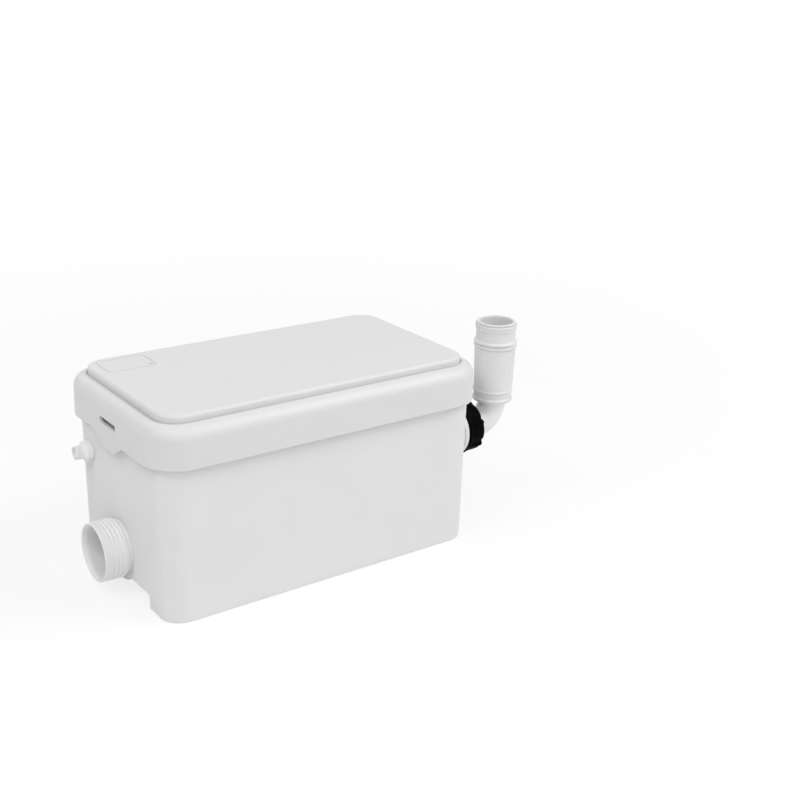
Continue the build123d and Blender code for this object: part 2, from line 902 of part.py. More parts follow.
# Inlet spigot, its flat seal and the flap behind it
with BuildPart() as inlet_spigot:
    turn(
        inlet_axis,
        (inlet_rim_x, inlet_bore + small_break),
        (inlet_rim_x, inlet_radius - small_break),
        (inlet_rim_x + small_break, inlet_radius),
        (inlet_relief_x, inlet_radius),
        (inlet_relief_x, inlet_radius - inlet_relief),
        (inlet_inner_x, inlet_radius - inlet_relief),
        (inlet_inner_x, inlet_bore),
        (inlet_rim_x + small_break, inlet_bore),
    )
finish(inlet_spigot, "inlet_spigot")

with BuildPart() as inlet_seal:
    tube(
        inlet_axis,
        inlet_inner_x,
        inlet_inner_x + inlet_seal_thickness,
        inlet_radius - inlet_relief,
        inlet_port_radius,
    )
finish(inlet_seal, "inlet_seal")

with BuildPart() as inlet_flap:
    flap(inlet_flap_place)
finish(inlet_flap, "inlet_flap")

with BuildPart() as inlet_flap_pin:
    flap_pin(inlet_flap_place)
finish(inlet_flap_pin, "inlet_flap_pin")

# Vent spigot: a collar outside, a stem through the wall and a clip inside
with BuildPart() as vent_spigot:
    wall_outer = -half_length(vent_height) - face_gap
    wall_inner = -half_length(vent_height) + tank_wall + face_gap
    collar_end = wall_outer - vent_collar_length
    tail_end = collar_end - vent_tail_length
    turn(
        vent_axis,
        (tail_end, vent_bore),
        (tail_end, vent_tail_radius - small_break),
        (tail_end + small_break, vent_tail_radius),
        (collar_end - small_break, vent_tail_radius),
        (collar_end, vent_collar_radius - edge_break),
        (collar_end + edge_break, vent_collar_radius),
        (wall_outer, vent_collar_radius),
        (wall_outer, vent_stem_radius),
        (wall_inner, vent_stem_radius),
        (wall_inner, vent_clip_radius),
        (wall_inner + vent_clip_thickness, vent_stem_radius),
        (wall_inner + vent_clip_thickness, vent_bore),
    )
finish(vent_spigot, "vent_spigot")

# Discharge fitting: collar outside, thread through the wall, valve chamber and hose tail inside
with BuildPart() as outlet_fitting:
    tail_tip_x = chamber_wall_x - 2 * hose_end_gap - hose_grip
    turn(
        outlet_axis,
        (tail_tip_x, hose_tail_bore),
        (tail_tip_x, hose_tail_radius),
        (chamber_wall_x, hose_tail_radius),
        (chamber_wall_x, outlet_thread_radius),
        (outlet_collar_x, outlet_thread_radius),
        (outlet_collar_x, outlet_collar_radius),
        (union_start_x, outlet_collar_radius),
        (union_start_x, outlet_thread_radius),
        (outlet_tip_x, outlet_thread_radius),
        (outlet_tip_x, outlet_chamber_bore),
        (outlet_seat_x, outlet_chamber_bore),
        (outlet_seat_x, hose_tail_bore),
    )
    flap_seat(outlet_flap_place, edge_break)
finish(outlet_fitting, "outlet_fitting")

with BuildPart() as outlet_seal:
    tube(
        outlet_axis,
        outlet_pad_x,
        outlet_collar_x,
        outlet_collar_radius - small_break,
        outlet_thread_radius + push_gap,
    )
finish(outlet_seal, "outlet_seal")

with BuildPart() as outlet_backnut:
    backnut_start = outlet_inner_face - outlet_backnut_thickness
    with BuildSketch(outlet_axis.offset(backnut_start)):
        RegularPolygon(outlet_backnut_radius, 6, rotation=30)
        Circle(outlet_thread_radius + push_gap, mode=Mode.SUBTRACT)
    extrude(amount=outlet_backnut_thickness)
finish(outlet_backnut, "outlet_backnut")

with BuildPart() as outlet_flap:
    flap(outlet_flap_place)
finish(outlet_flap, "outlet_flap")

with BuildPart() as outlet_flap_pin:
    flap_pin(outlet_flap_place)
finish(outlet_flap_pin, "outlet_flap_pin")

# Union washer between the fitting and the elbow
with BuildPart() as union_washer:
    tube(
        outlet_axis,
        outlet_tip_x,
        elbow_flange_x - moving_gap,
        outlet_thread_radius - small_break,
        elbow_bore,
    )
finish(union_washer, "union_washer")

# Union nut: flared skirt with grip lugs, drawing the elbow's flange onto the fitting
with BuildPart() as union_nut:
    nut_start = union_start_x + moving_gap
    thread_bore = outlet_thread_radius + moving_gap
    end_wall_x = elbow_flange_x + elbow_flange_thickness + moving_gap
    turn(
        outlet_axis,
        (nut_start, thread_bore),
        (nut_start, union_nut_wide_radius),
        (nut_start + union_rim_length, union_nut_wide_radius),
        (union_end_x - edge_break, union_nut_narrow_radius),
        (union_end_x, union_nut_narrow_radius - edge_break),
        (union_end_x, elbow_radius + moving_gap),
        (end_wall_x, elbow_radius + moving_gap),
        (end_wall_x, thread_bore),
    )
    with Locations(outlet_axis.offset(nut_start)):
        with PolarLocations(union_nut_narrow_radius, union_lug_count, start_angle=union_lug_angle):
            Cylinder(
                union_lug_radius,
                union_nut_length - moving_gap - edge_break,
                align=(Align.CENTER, Align.CENTER, Align.MIN),
            )
    round_bar(outlet_axis, nut_start, end_wall_x, thread_bore, mode=Mode.SUBTRACT)
finish(union_nut, "union_nut")

# Discharge elbow: flange, bend and the upright spigot that the sleeve sits on
with BuildPart() as discharge_elbow:
    spigot_top = outlet_height + elbow_bend_radius + elbow_spigot_length
    pipe(
        [
            (elbow_flange_x, outlet_y, outlet_height),
            (sleeve_x, outlet_y, outlet_height),
            (sleeve_x, outlet_y, spigot_top),
        ],
        elbow_bend_radius,
        elbow_radius,
        elbow_bore,
    )
    tube(
        outlet_axis,
        elbow_flange_x,
        elbow_flange_x + elbow_flange_thickness,
        elbow_flange_radius,
        elbow_bore,
    )
finish(discharge_elbow, "discharge_elbow")

# A raised bead round a turned piece, made down to its bore
def bead(axis_plane, middle, width, radius, bore):
    turn(
        axis_plane,
        (middle - width / 2 - small_break, bore),
        (middle - width / 2, radius),
        (middle + width / 2, radius),
        (middle + width / 2 + small_break, bore),
    )


# Discharge sleeve: socket over the elbow, two beads at the foot, two ridges, a neck and a rolled collar
with BuildPart() as discharge_sleeve:
    socket_radius = elbow_radius + push_gap
    socket_top = spigot_top + push_gap
    sleeve_top = sleeve_base + sleeve_height
    neck_base = sleeve_top - sleeve_neck_length
    collar_base = sleeve_top - sleeve_collar_length
    turn(
        sleeve_axis,
        (sleeve_base, socket_radius),
        (sleeve_base, sleeve_foot_radius - small_break),
        (sleeve_base + small_break, sleeve_foot_radius),
        (neck_base - small_break, sleeve_body_radius),
        (neck_base, sleeve_neck_radius),
        (collar_base, sleeve_neck_radius),
        (collar_base + small_break, sleeve_collar_radius),
        (sleeve_top - edge_break, sleeve_collar_radius),
        (sleeve_top, sleeve_collar_radius - edge_break),
        (sleeve_top, sleeve_bore + small_break),
        (sleeve_top - small_break, sleeve_bore),
        (socket_top + sleeve_stop, sleeve_bore),
        (socket_top + sleeve_stop, elbow_bore),
        (socket_top, elbow_bore),
        (socket_top, socket_radius),
    )
    for number in range(2):
        bead(
            sleeve_axis,
            sleeve_top - sleeve_ridge_drop - number * sleeve_ridge_pitch,
            sleeve_ridge_width,
            sleeve_ridge_radius,
            sleeve_bore,
        )
        bead(
            sleeve_axis,
            sleeve_base + sleeve_foot_bead_rise + number * sleeve_foot_bead_pitch,
            sleeve_ridge_width,
            sleeve_foot_radius + sleeve_foot_bead,
            socket_radius,
        )
    # Fine groove round the collar
    with BuildSketch(Plane.XY.offset(sleeve_top - sleeve_collar_groove)) as groove_ring:
        with Locations((sleeve_x, outlet_y)):
            Circle(sleeve_collar_radius + edge_break)
            Circle(sleeve_collar_radius - small_break, mode=Mode.SUBTRACT)
    extrude(groove_ring.sketch, amount=small_break, mode=Mode.SUBTRACT)
finish(discharge_sleeve, "discharge_sleeve")

# Riser hose from the pump's throat up to the discharge fitting, with a clip at each end
with BuildPart() as riser_hose:
    hose_start_x = riser_x - hose_bend_radius - hose_grip
    hose_end_x = riser_x + hose_bend_radius + hose_grip
    hose_outer = hose_tail_radius + push_gap + hose_wall
    pipe(
        [
            (hose_start_x, outlet_y, throat_height),
            (riser_x, outlet_y, throat_height),
            (riser_x, outlet_y, outlet_height),
            (hose_end_x, outlet_y, outlet_height),
        ],
        hose_bend_radius,
        hose_outer,
        hose_tail_radius + push_gap,
    )
finish(riser_hose, "riser_hose")

with BuildPart() as hose_clips:
    clip_inset = (hose_grip - clip_width) / 2
    clip_inner = hose_outer + push_gap
    for clip_axis, start in (
        (throat_axis, hose_start_x + clip_inset),
        (outlet_axis, hose_end_x - clip_inset - clip_width),
    ):
        tube(clip_axis, start, start + clip_width, clip_inner + clip_thickness, clip_inner)
        clip_z = clip_axis.origin.Z + clip_inner + clip_thickness / 2
        block(
            (start, outlet_y - clip_screw_width / 2, clip_z),
            (start + clip_width, outlet_y + clip_screw_width / 2, clip_z + clip_screw_height),
        )
finish(hose_clips, "hose_clips")

# Gasket between the tank's mouth and the tray
with BuildPart() as tray_gasket:
    slab(tank_height, tray_rim_base, rim_length, rim_width, rim_corner)
    slab(
        tank_height,
        tray_rim_base,
        mouth_length,
        mouth_width,
        mouth_corner,
        mode=Mode.SUBTRACT,
    )
    with Locations(Plane.XY.offset(tray_rim_base)):
        with Locations(*rim_screw_places):
            Hole(screw_radius + push_gap)
finish(tray_gasket, "tray_gasket")

# Tray: flat rim, tub, openings for the motor, the air bell and the gland, screw bosses and ribs
with BuildPart() as electrics_tray:
    slab(tray_rim_base, tray_rim_top, rim_length, rim_width, rim_corner)
    slab(tray_floor_base, tray_rim_top, tub_length, tub_width, tray_corner)
    slab(
        tray_floor_top,
        tray_rim_top,
        tub_length - 2 * tray_wall,
        tub_width - 2 * tray_wall,
        tray_corner - tray_wall,
        mode=Mode.SUBTRACT,
    )
    with Locations(Plane(origin=(pump_x, pump_y, tray_floor_base))):
        with PolarLocations(motor_screw_circle, motor_screw_count):
            Cylinder(
                screw_boss_radius,
                screw_boss_length,
                align=(Align.CENTER, Align.CENTER, Align.MAX),
            )
            Cylinder(screw_radius + running_gap, 2 * screw_hole_depth, mode=Mode.SUBTRACT)
    round_bar(
        pump_axis,
        tray_floor_base - screw_boss_length,
        tray_floor_top,
        motor_radius + moving_gap,
        mode=Mode.SUBTRACT,
    )
    round_bar(
        bell_axis,
        tray_floor_base,
        tray_floor_top,
        bell_neck_radius + push_gap,
        mode=Mode.SUBTRACT,
    )
    round_bar(
        gland_axis,
        tub_width / 2 - tray_wall,
        tub_width / 2,
        gland_stem_radius + push_gap,
        mode=Mode.SUBTRACT,
    )
    with Locations(Plane.XY.offset(tray_rim_top)):
        with Locations(*rim_screw_places):
            Hole(screw_radius + push_gap, tray_rim_thickness)
finish(electrics_tray, "electrics_tray")

with BuildPart() as tray_screws:
    with Locations(Plane.XY.offset(tray_rim_top)):
        with Locations(*rim_screw_places):
            screws(tray_rim_thickness + gasket_thickness + ledge_thickness + screw_bite)
finish(tray_screws, "tray_screws")

# Motor housing: sealed can with a flange, a bearing hub, a seal pocket and lugs for the pump's screws
with BuildPart() as motor_housing:
    hub_radius = bearing_radius + bearing_hub_wall
    motor_bore = motor_radius - motor_wall
    turn(
        pump_axis,
        (motor_base, seal_radius),
        (motor_base, motor_radius - motor_can_chamfer),
        (motor_base + motor_can_chamfer, motor_radius),
        (motor_flange_base, motor_radius),
        (motor_flange_base, motor_flange_radius),
        (motor_flange_top, motor_flange_radius),
        (motor_flange_top, motor_bore),
        (motor_base + motor_floor, motor_bore),
        (motor_base + motor_floor, hub_radius),
        (lower_bearing_top, hub_radius),
        (lower_bearing_top, bearing_radius),
        (seal_top, bearing_radius),
        (seal_top, seal_radius),
    )
    with Locations(Plane(origin=(pump_x, pump_y, motor_base))):
        lugs(screw_boss_length)
    round_bar(
        pump_axis,
        motor_base + motor_floor,
        motor_base + screw_boss_length,
        motor_bore,
        mode=Mode.SUBTRACT,
    )
    round_bar(pump_axis, motor_base + motor_floor / 2, lower_bearing_top, hub_radius)
    round_bar(pump_axis, motor_base, seal_top, seal_radius, mode=Mode.SUBTRACT)
    round_bar(pump_axis, seal_top, lower_bearing_top, bearing_radius, mode=Mode.SUBTRACT)
    with Locations(Plane(origin=(pump_x, pump_y, motor_base))):
        with PolarLocations(motor_screw_circle, motor_screw_count):
            Cylinder(screw_radius + running_gap, 2 * screw_hole_depth, mode=Mode.SUBTRACT)
    with Locations(Plane(origin=(pump_x, pump_y, motor_flange_top))):
        with PolarLocations(motor_screw_circle, motor_screw_count):
            Hole(screw_radius + push_gap, motor_flange_thickness)
finish(motor_housing, "motor_housing")

with BuildPart() as motor_gasket:
    tube(
        pump_axis,
        tray_floor_top,
        motor_flange_base,
        motor_flange_radius,
        motor_radius + moving_gap,
    )
    with Locations(Plane(origin=(pump_x, pump_y, motor_flange_base))):
        with PolarLocations(motor_screw_circle, motor_screw_count):
            Hole(screw_radius + push_gap)
finish(motor_gasket, "motor_gasket")

# Motor cap: domed cover with the upper bearing's pocket and an entry boss for its lead
with BuildPart() as motor_cap:
    turn(
        pump_axis,
        (motor_flange_top, motor_bore),
        (motor_flange_top, motor_flange_radius),
        (motor_flange_top + motor_flange_thickness, motor_flange_radius),
        (motor_flange_top + motor_flange_thickness, motor_radius),
        (motor_cap_top - motor_cap_chamfer, motor_radius),
        (motor_cap_top, motor_radius - motor_cap_chamfer),
        (motor_cap_top, 0),
        (upper_bearing_top, 0),
        (upper_bearing_top, bearing_radius),
        (upper_bearing_base, bearing_radius),
        (upper_bearing_base, hub_radius),
        (upper_bearing_top, hub_radius),
        (upper_bearing_top, motor_bore - motor_cap_chamfer),
        (upper_bearing_top - motor_cap_chamfer, motor_bore),
    )
    # Entry bosses for the two leads
    lead_boss_axis = Plane(
        origin=(lead_boss_x, 0, lead_height), x_dir=(1, 0, 0), z_dir=(0, 1, 0)
    )
    round_bar(lead_boss_axis, lead_boss_face - lead_boss_root, lead_boss_face, lead_boss_radius)
    round_bar(
        capacitor_axis,
        capacitor_boss_face,
        capacitor_boss_face + lead_boss_root,
        lead_boss_radius,
    )
    round_bar(
        pump_axis,
        motor_flange_top,
        upper_bearing_top - motor_cap_chamfer,
        motor_bore,
        mode=Mode.SUBTRACT,
    )
    with Locations(Plane(origin=(pump_x, pump_y, motor_flange_top + motor_flange_thickness))):
        with PolarLocations(motor_screw_circle, motor_screw_count):
            Hole(screw_radius + push_gap, motor_flange_thickness)
finish(motor_cap, "motor_cap")

with BuildPart() as motor_screws:
    with Locations(Plane(origin=(pump_x, pump_y, motor_flange_top + motor_flange_thickness))):
        with PolarLocations(motor_screw_circle, motor_screw_count):
            screws(2 * motor_flange_thickness + motor_gasket_thickness + screw_bite)
finish(motor_screws, "motor_screws")

# Bearings, shaft seal, stator, windings and rotor
with BuildPart() as lower_bearing:
    tube(pump_axis, seal_top, lower_bearing_top, bearing_radius, shaft_radius + running_gap)
finish(lower_bearing, "lower_bearing")

with BuildPart() as upper_bearing:
    tube(
        pump_axis,
        upper_bearing_base,
        upper_bearing_top,
        bearing_radius,
        shaft_radius + running_gap,
    )
finish(upper_bearing, "upper_bearing")

with BuildPart() as shaft_seal:
    tube(pump_axis, motor_base, seal_top, seal_radius, shaft_radius + running_gap)
finish(shaft_seal, "shaft_seal")

with BuildPart() as stator_core:
    tube(pump_axis, stator_base, stator_top, motor_bore, stator_bore)
finish(stator_core, "stator_core")

with BuildPart() as stator_windings:
    for winding_start in (winding_base, stator_top):
        winding_end = winding_start + winding_height
        winding_inner = stator_bore + winding_bore_gap
        winding_outer = motor_bore - winding_wall_gap
        turn(
            pump_axis,
            (winding_start, winding_inner + winding_edge),
            (winding_start, winding_outer - winding_edge),
            (winding_start + winding_edge, winding_outer),
            (winding_end - winding_edge, winding_outer),
            (winding_end, winding_outer - winding_edge),
            (winding_end, winding_inner + winding_edge),
            (winding_end - winding_edge, winding_inner),
            (winding_start + winding_edge, winding_inner),
        )
finish(stator_windings, "stator_windings")

with BuildPart() as rotor_core:
    tube(pump_axis, stator_base, stator_top, stator_bore - rotor_air_gap, rotor_shaft_radius)
finish(rotor_core, "rotor_core")

with BuildPart() as motor_shaft:
    impeller_top = volute_top - impeller_gap
    impeller_bottom = volute_base + volute_wall + impeller_gap
    hub_bottom = impeller_bottom + impeller_hub_rise
    shaft_tip = hub_bottom - impeller_nut_height + impeller_nut_cap
    turn(
        pump_axis,
        (shaft_tip, 0),
        (shaft_tip, shaft_tip_radius),
        (impeller_top, shaft_tip_radius),
        (impeller_top, shaft_radius),
        (lower_bearing_top + moving_gap, shaft_radius),
        (lower_bearing_top + moving_gap, rotor_shaft_radius),
        (upper_bearing_base - moving_gap, rotor_shaft_radius),
        (upper_bearing_base - moving_gap, shaft_radius),
        (upper_bearing_top - moving_gap, shaft_radius),
        (upper_bearing_top - moving_gap, 0),
    )
finish(motor_shaft, "motor_shaft")

# One vane in plan, bent back against the turn
with BuildSketch() as vane_outline:
    vane_root = impeller_hub_radius - edge_break
    vane_tip = impeller_radius - vane_thickness / 2
    vane_middle = (vane_root + vane_tip) / 2
    with BuildLine():
        ThreePointArc(
            (vane_root, 0),
            Vector(vane_middle, 0).rotate(Axis.Z, -vane_sweep / 3),
            Vector(vane_tip, 0).rotate(Axis.Z, -vane_sweep),
        )
    trace(line_width=vane_thickness)

# Impeller: back disc, hub and curved vanes, held by a nut under the hub
with BuildPart() as impeller:
    disc_base = impeller_top - impeller_disc_thickness
    turn(
        pump_axis,
        (hub_bottom, shaft_tip_radius),
        (hub_bottom, impeller_hub_radius - small_break),
        (disc_base, impeller_hub_radius),
        (disc_base, impeller_radius),
        (impeller_top, impeller_radius),
        (impeller_top, shaft_tip_radius),
    )
    with BuildSketch(Plane(origin=(pump_x, pump_y, impeller_bottom))):
        with PolarLocations(0, vane_count):
            add(vane_outline.sketch)
    extrude(amount=disc_base - impeller_bottom)
finish(impeller, "impeller")

with BuildPart() as impeller_nut:
    with BuildSketch(pump_axis.offset(hub_bottom - impeller_nut_height)):
        RegularPolygon(impeller_nut_radius, 6)
    extrude(amount=impeller_nut_height)
    round_bar(pump_axis, shaft_tip, hub_bottom, shaft_tip_radius, mode=Mode.SUBTRACT)
finish(impeller_nut, "impeller_nut")

# Volute casing: the spiral grows a quarter turn at a time and leaves through a straight throat
with BuildSketch() as spiral:
    shift = volute_growth / 2
    throat_end = volute_throat_length - volute_wall
    with BuildLine():
        for quarter, centre in enumerate(
            ((shift, shift), (-shift, shift), (-shift, -shift), (shift, -shift))
        ):
            CenterArc(
                centre,
                spiral_radius + quarter * volute_growth,
                -90 + 90 * quarter,
                90,
            )
        Polyline(
            (shift, -shift - spiral_radius - 3 * volute_growth),
            (throat_end, -shift - spiral_radius - 3 * volute_growth),
            (throat_end, shift - spiral_radius),
            (shift, shift - spiral_radius),
        )
    make_face()

with BuildPart() as volute:
    with BuildSketch(pump_axis.offset(volute_base)):
        add(spiral.sketch)
        offset(amount=volute_wall)
    extrude(amount=volute_height)
    round_bar(pump_axis, volute_top - volute_flange_thickness, volute_top, volute_flange_radius)
    with Locations(pump_axis.offset(volute_top - volute_flange_thickness)):
        lugs(volute_flange_thickness)
    stub_end_x = riser_x - hose_bend_radius
    round_bar(
        throat_axis, pump_x + throat_end, stub_end_x, hose_tail_radius
    )
    with BuildSketch(pump_axis.offset(volute_base + volute_wall)):
        add(spiral.sketch)
    extrude(amount=volute_height, mode=Mode.SUBTRACT)
    round_bar(
        throat_axis,
        pump_x + throat_end - volute_wall,
        stub_end_x,
        hose_tail_bore,
        mode=Mode.SUBTRACT,
    )
    round_bar(pump_axis, volute_base, volute_top, suction_eye_radius, mode=Mode.SUBTRACT)
    with Locations(pump_axis.offset(volute_top)):
        with PolarLocations(motor_screw_circle, motor_screw_count):
            Hole(screw_radius + push_gap, volute_flange_thickness)
finish(volute, "volute")

with BuildPart() as pump_plate:
    round_bar(pump_axis, volute_top, motor_base, volute_flange_radius)
    with Locations(pump_axis.offset(volute_top)):
        lugs(volute_wall)
    round_bar(pump_axis, volute_top, motor_base, shaft_radius + moving_gap, mode=Mode.SUBTRACT)
    with Locations(pump_axis.offset(motor_base)):
        with PolarLocations(motor_screw_circle, motor_screw_count):
            Hole(screw_radius + push_gap, volute_wall)
finish(pump_plate, "pump_plate")

with BuildPart() as pump_screws:
    screw_plane = Plane(
        origin=(pump_x, pump_y, volute_top - volute_flange_thickness),
        x_dir=(1, 0, 0),
        z_dir=(0, 0, -1),
    )
    with Locations(screw_plane):
        with PolarLocations(motor_screw_circle, motor_screw_count):
            screws(volute_flange_thickness + volute_wall + screw_bite)
finish(pump_screws, "pump_screws")

# Strainer under the pump's eye: a cup with slots all round
with BuildPart() as suction_strainer:
    turn(
        pump_axis,
        (strainer_base, 0),
        (strainer_base, strainer_radius - strainer_chamfer),
        (strainer_base + strainer_chamfer, strainer_radius),
        (volute_base, strainer_radius),
        (volute_base, strainer_radius - strainer_wall),
        (strainer_base + strainer_wall, strainer_radius - strainer_wall),
        (strainer_base + strainer_wall, 0),
    )
    slot_rise = strainer_height - 2 * strainer_wall
    with Locations(pump_axis.offset(strainer_base + strainer_wall)):
        with PolarLocations(strainer_radius - strainer_wall / 2, strainer_slot_count):
            Box(
                3 * strainer_wall,
                strainer_slot_width,
                slot_rise,
                align=(Align.CENTER, Align.CENTER, Align.MIN),
                mode=Mode.SUBTRACT,
            )
finish(suction_strainer, "suction_strainer")

# Air bell: rising water traps air in it and lifts the switch's diaphragm
with BuildPart() as pressure_bell:
    bell_roof = tray_floor_base - bell_wall - bell_roof_gap
    turn(
        bell_axis,
        (bell_base, bell_radius - bell_wall),
        (bell_base, bell_radius),
        (tray_floor_base, bell_radius),
        (tray_floor_base, bell_neck_radius),
        (tray_floor_top, bell_neck_radius),
        (tray_floor_top, bell_neck_bore),
        (bell_roof, bell_neck_bore),
        (bell_roof, bell_radius - bell_wall),
    )
finish(pressure_bell, "pressure_bell")

switch_base_top = tray_floor_top + switch_base_height
diaphragm_top = switch_base_top + diaphragm_thickness
switch_cover_top = diaphragm_top + switch_cover_height
plunger_tip = switch_cover_top + plunger_travel + button_height
button_base = plunger_tip + push_gap
microswitch_base = button_base + button_height

with BuildPart() as switch_base:
    turn(
        bell_axis,
        (tray_floor_top, bell_neck_bore),
        (tray_floor_top, switch_radius),
        (switch_base_top, switch_radius),
        (switch_base_top, switch_radius - switch_lip_width),
        (tray_floor_top + switch_rim, switch_radius - switch_lip_width),
        (tray_floor_top + switch_rim, bell_neck_bore),
    )
finish(switch_base, "switch_base")

with BuildPart() as switch_diaphragm:
    round_bar(bell_axis, switch_base_top, diaphragm_top, switch_radius)
finish(switch_diaphragm, "switch_diaphragm")

with BuildPart() as switch_cover:
    plate_room = plunger_plate_thickness + plunger_travel + moving_gap
    turn(
        bell_axis,
        (diaphragm_top, plunger_plate_radius + 2 * moving_gap),
        (diaphragm_top, switch_radius),
        (switch_cover_top - edge_break, switch_radius),
        (switch_cover_top, switch_radius - edge_break),
        (switch_cover_top, plunger_radius + running_gap),
        (diaphragm_top + plate_room, plunger_radius + running_gap),
        (diaphragm_top + plate_room, plunger_plate_radius + 2 * moving_gap),
    )
    # Two ears that hold the microswitch
    ear_inner = microswitch_width / 2 + push_gap
    for side in (-1, 1):
        near, far = sorted((side * ear_inner, side * (ear_inner + switch_rim)))
        block(
            (
                bell_x - switch_ear_length / 2,
                bell_y + near,
                switch_cover_top - edge_break,
            ),
            (
                bell_x + switch_ear_length / 2,
                bell_y + far,
                microswitch_base + microswitch_height - switch_rim,
            ),
        )
finish(switch_cover, "switch_cover")

with BuildPart() as switch_plunger:
    plate_base = diaphragm_top + push_gap
    round_bar(
        bell_axis, plate_base, plate_base + plunger_plate_thickness, plunger_plate_radius
    )
    round_bar(bell_axis, plate_base, plunger_tip, plunger_radius)
finish(switch_plunger, "switch_plunger")

with BuildPart() as microswitch:
    block(
        (
            bell_x - microswitch_length / 2,
            bell_y - microswitch_width / 2,
            microswitch_base,
        ),
        (
            bell_x + microswitch_length / 2,
            bell_y + microswitch_width / 2,
            microswitch_base + microswitch_height,
        ),
    )
    round_bar(
        bell_axis,
        microswitch_base,
        microswitch_base + microswitch_height / 2,
        button_radius + running_gap,
        mode=Mode.SUBTRACT,
    )
finish(microswitch, "microswitch")

with BuildPart() as microswitch_button:
    round_bar(
        bell_axis,
        button_base,
        microswitch_base + microswitch_height / 2 - plunger_travel - moving_gap,
        button_radius,
    )
finish(microswitch_button, "microswitch_button")

# Capacitor lying in its clip on the tray floor
with BuildPart() as capacitor:
    capacitor_start = capacitor_x - capacitor_length / 2
    capacitor_end = capacitor_x + capacitor_length / 2
    turn(
        capacitor_axis,
        (capacitor_start, 0),
        (capacitor_start, capacitor_radius - edge_break),
        (capacitor_start + edge_break, capacitor_radius),
        (capacitor_end - edge_break, capacitor_radius),
        (capacitor_end, capacitor_radius - edge_break),
        (capacitor_end, lead_boss_radius),
        (capacitor_end + capacitor_stub_length, lead_boss_radius),
        (capacitor_end + capacitor_stub_length, 0),
    )
finish(capacitor, "capacitor")

with BuildPart() as capacitor_clip:
    band_inner = capacitor_radius + push_gap
    band_outer = band_inner + clip_thickness
    band_start = capacitor_x - clip_width / 2
    band_end = capacitor_x + clip_width / 2
    block(
        (band_start, capacitor_y - capacitor_reach, tray_floor_top),
        (band_end, capacitor_y + capacitor_reach, tray_floor_top + capacitor_foot_thickness),
    )
    round_bar(capacitor_axis, band_start, band_end, band_outer)
    round_bar(capacitor_axis, band_start, band_end, band_inner, mode=Mode.SUBTRACT)
finish(capacitor_clip, "capacitor_clip")

# Terminal block: a row of ways, each with a wire hole and a screw well
with BuildPart() as terminal_block:
    terminal_top = tray_floor_top + terminal_height
    block(
        (terminal_x - terminal_length / 2, terminal_y - terminal_width / 2, tray_floor_top),
        (terminal_x + terminal_length / 2, terminal_y + terminal_width / 2, terminal_top),
    )
    way_pitch = terminal_length / terminal_ways
    with Locations((terminal_x, terminal_y, terminal_top)):
        with GridLocations(way_pitch, terminal_width / 2, terminal_ways, 2):
            Cylinder(terminal_well_radius, 2 * terminal_well_depth, mode=Mode.SUBTRACT)
finish(terminal_block, "terminal_block")

# Leads inside the tray: motor, capacitor and switch
with BuildPart() as motor_lead:
    pipe(
        [
            (terminal_x - terminal_length / 2, motor_lead_y, lead_height),
            (lead_boss_x, motor_lead_y, lead_height),
            (lead_boss_x, lead_boss_face, lead_height),
        ],
        lead_bend_radius,
        lead_radius,
    )
finish(motor_lead, "motor_lead")

with BuildPart() as capacitor_lead:
    round_bar(
        capacitor_axis, capacitor_end + capacitor_stub_length, capacitor_boss_face, lead_radius
    )
finish(capacitor_lead, "capacitor_lead")

with BuildPart() as switch_lead:
    switch_end_x = bell_x + microswitch_length / 2
    switch_end_z = microswitch_base + microswitch_height / 2
    terminal_face_x = terminal_x - terminal_length / 2
    pipe(
        [
            (switch_end_x, bell_y, switch_end_z),
            (switch_end_x + lead_straight, bell_y, switch_end_z),
            (terminal_face_x - lead_straight, bell_y, lead_height),
            (terminal_face_x, bell_y, lead_height),
        ],
        switch_lead_bend_radius,
        lead_radius,
    )
finish(switch_lead, "switch_lead")

# Cable gland through the rear wall, with its nut inside the tray
with BuildPart() as cable_gland:
    gland_seat = half_width(gland_height) + face_gap
    gland_end = gland_seat + gland_head_length
    gland_start = tub_width / 2 - tray_wall - gland_nut_thickness - gland_stem_end
    turn(
        gland_axis,
        (gland_start, gland_bore),
        (gland_start, gland_stem_radius),
        (gland_seat, gland_stem_radius),
        (gland_seat, gland_radius),
        (gland_end - gland_dome, gland_radius),
        (gland_end, gland_radius - gland_dome),
        (gland_end, gland_bore),
    )
finish(cable_gland, "cable_gland")

with BuildPart() as gland_nut:
    nut_face = tub_width / 2 - tray_wall
    with BuildSketch(gland_axis.offset(nut_face - gland_nut_thickness)):
        RegularPolygon(gland_radius, 6)
        Circle(gland_stem_radius + push_gap, mode=Mode.SUBTRACT)
    extrude(amount=gland_nut_thickness)
finish(gland_nut, "gland_nut")
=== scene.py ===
import math

import bpy
import numpy as np
from mathutils import Matrix, Vector


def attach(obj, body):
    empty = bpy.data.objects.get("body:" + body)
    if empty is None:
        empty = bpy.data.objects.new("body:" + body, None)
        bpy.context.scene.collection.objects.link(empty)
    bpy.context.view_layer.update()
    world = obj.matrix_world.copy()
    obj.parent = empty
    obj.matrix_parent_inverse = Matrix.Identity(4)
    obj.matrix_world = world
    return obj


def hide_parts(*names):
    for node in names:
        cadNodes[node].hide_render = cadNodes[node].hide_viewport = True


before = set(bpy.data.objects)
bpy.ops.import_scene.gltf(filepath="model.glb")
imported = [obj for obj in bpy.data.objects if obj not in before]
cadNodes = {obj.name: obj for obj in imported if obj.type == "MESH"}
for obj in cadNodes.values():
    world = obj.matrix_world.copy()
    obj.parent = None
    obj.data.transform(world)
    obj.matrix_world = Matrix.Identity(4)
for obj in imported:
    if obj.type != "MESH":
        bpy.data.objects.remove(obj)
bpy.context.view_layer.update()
scene = bpy.context.scene
mm = 0.001
print("frame loaded:", len(cadNodes), "CAD nodes")


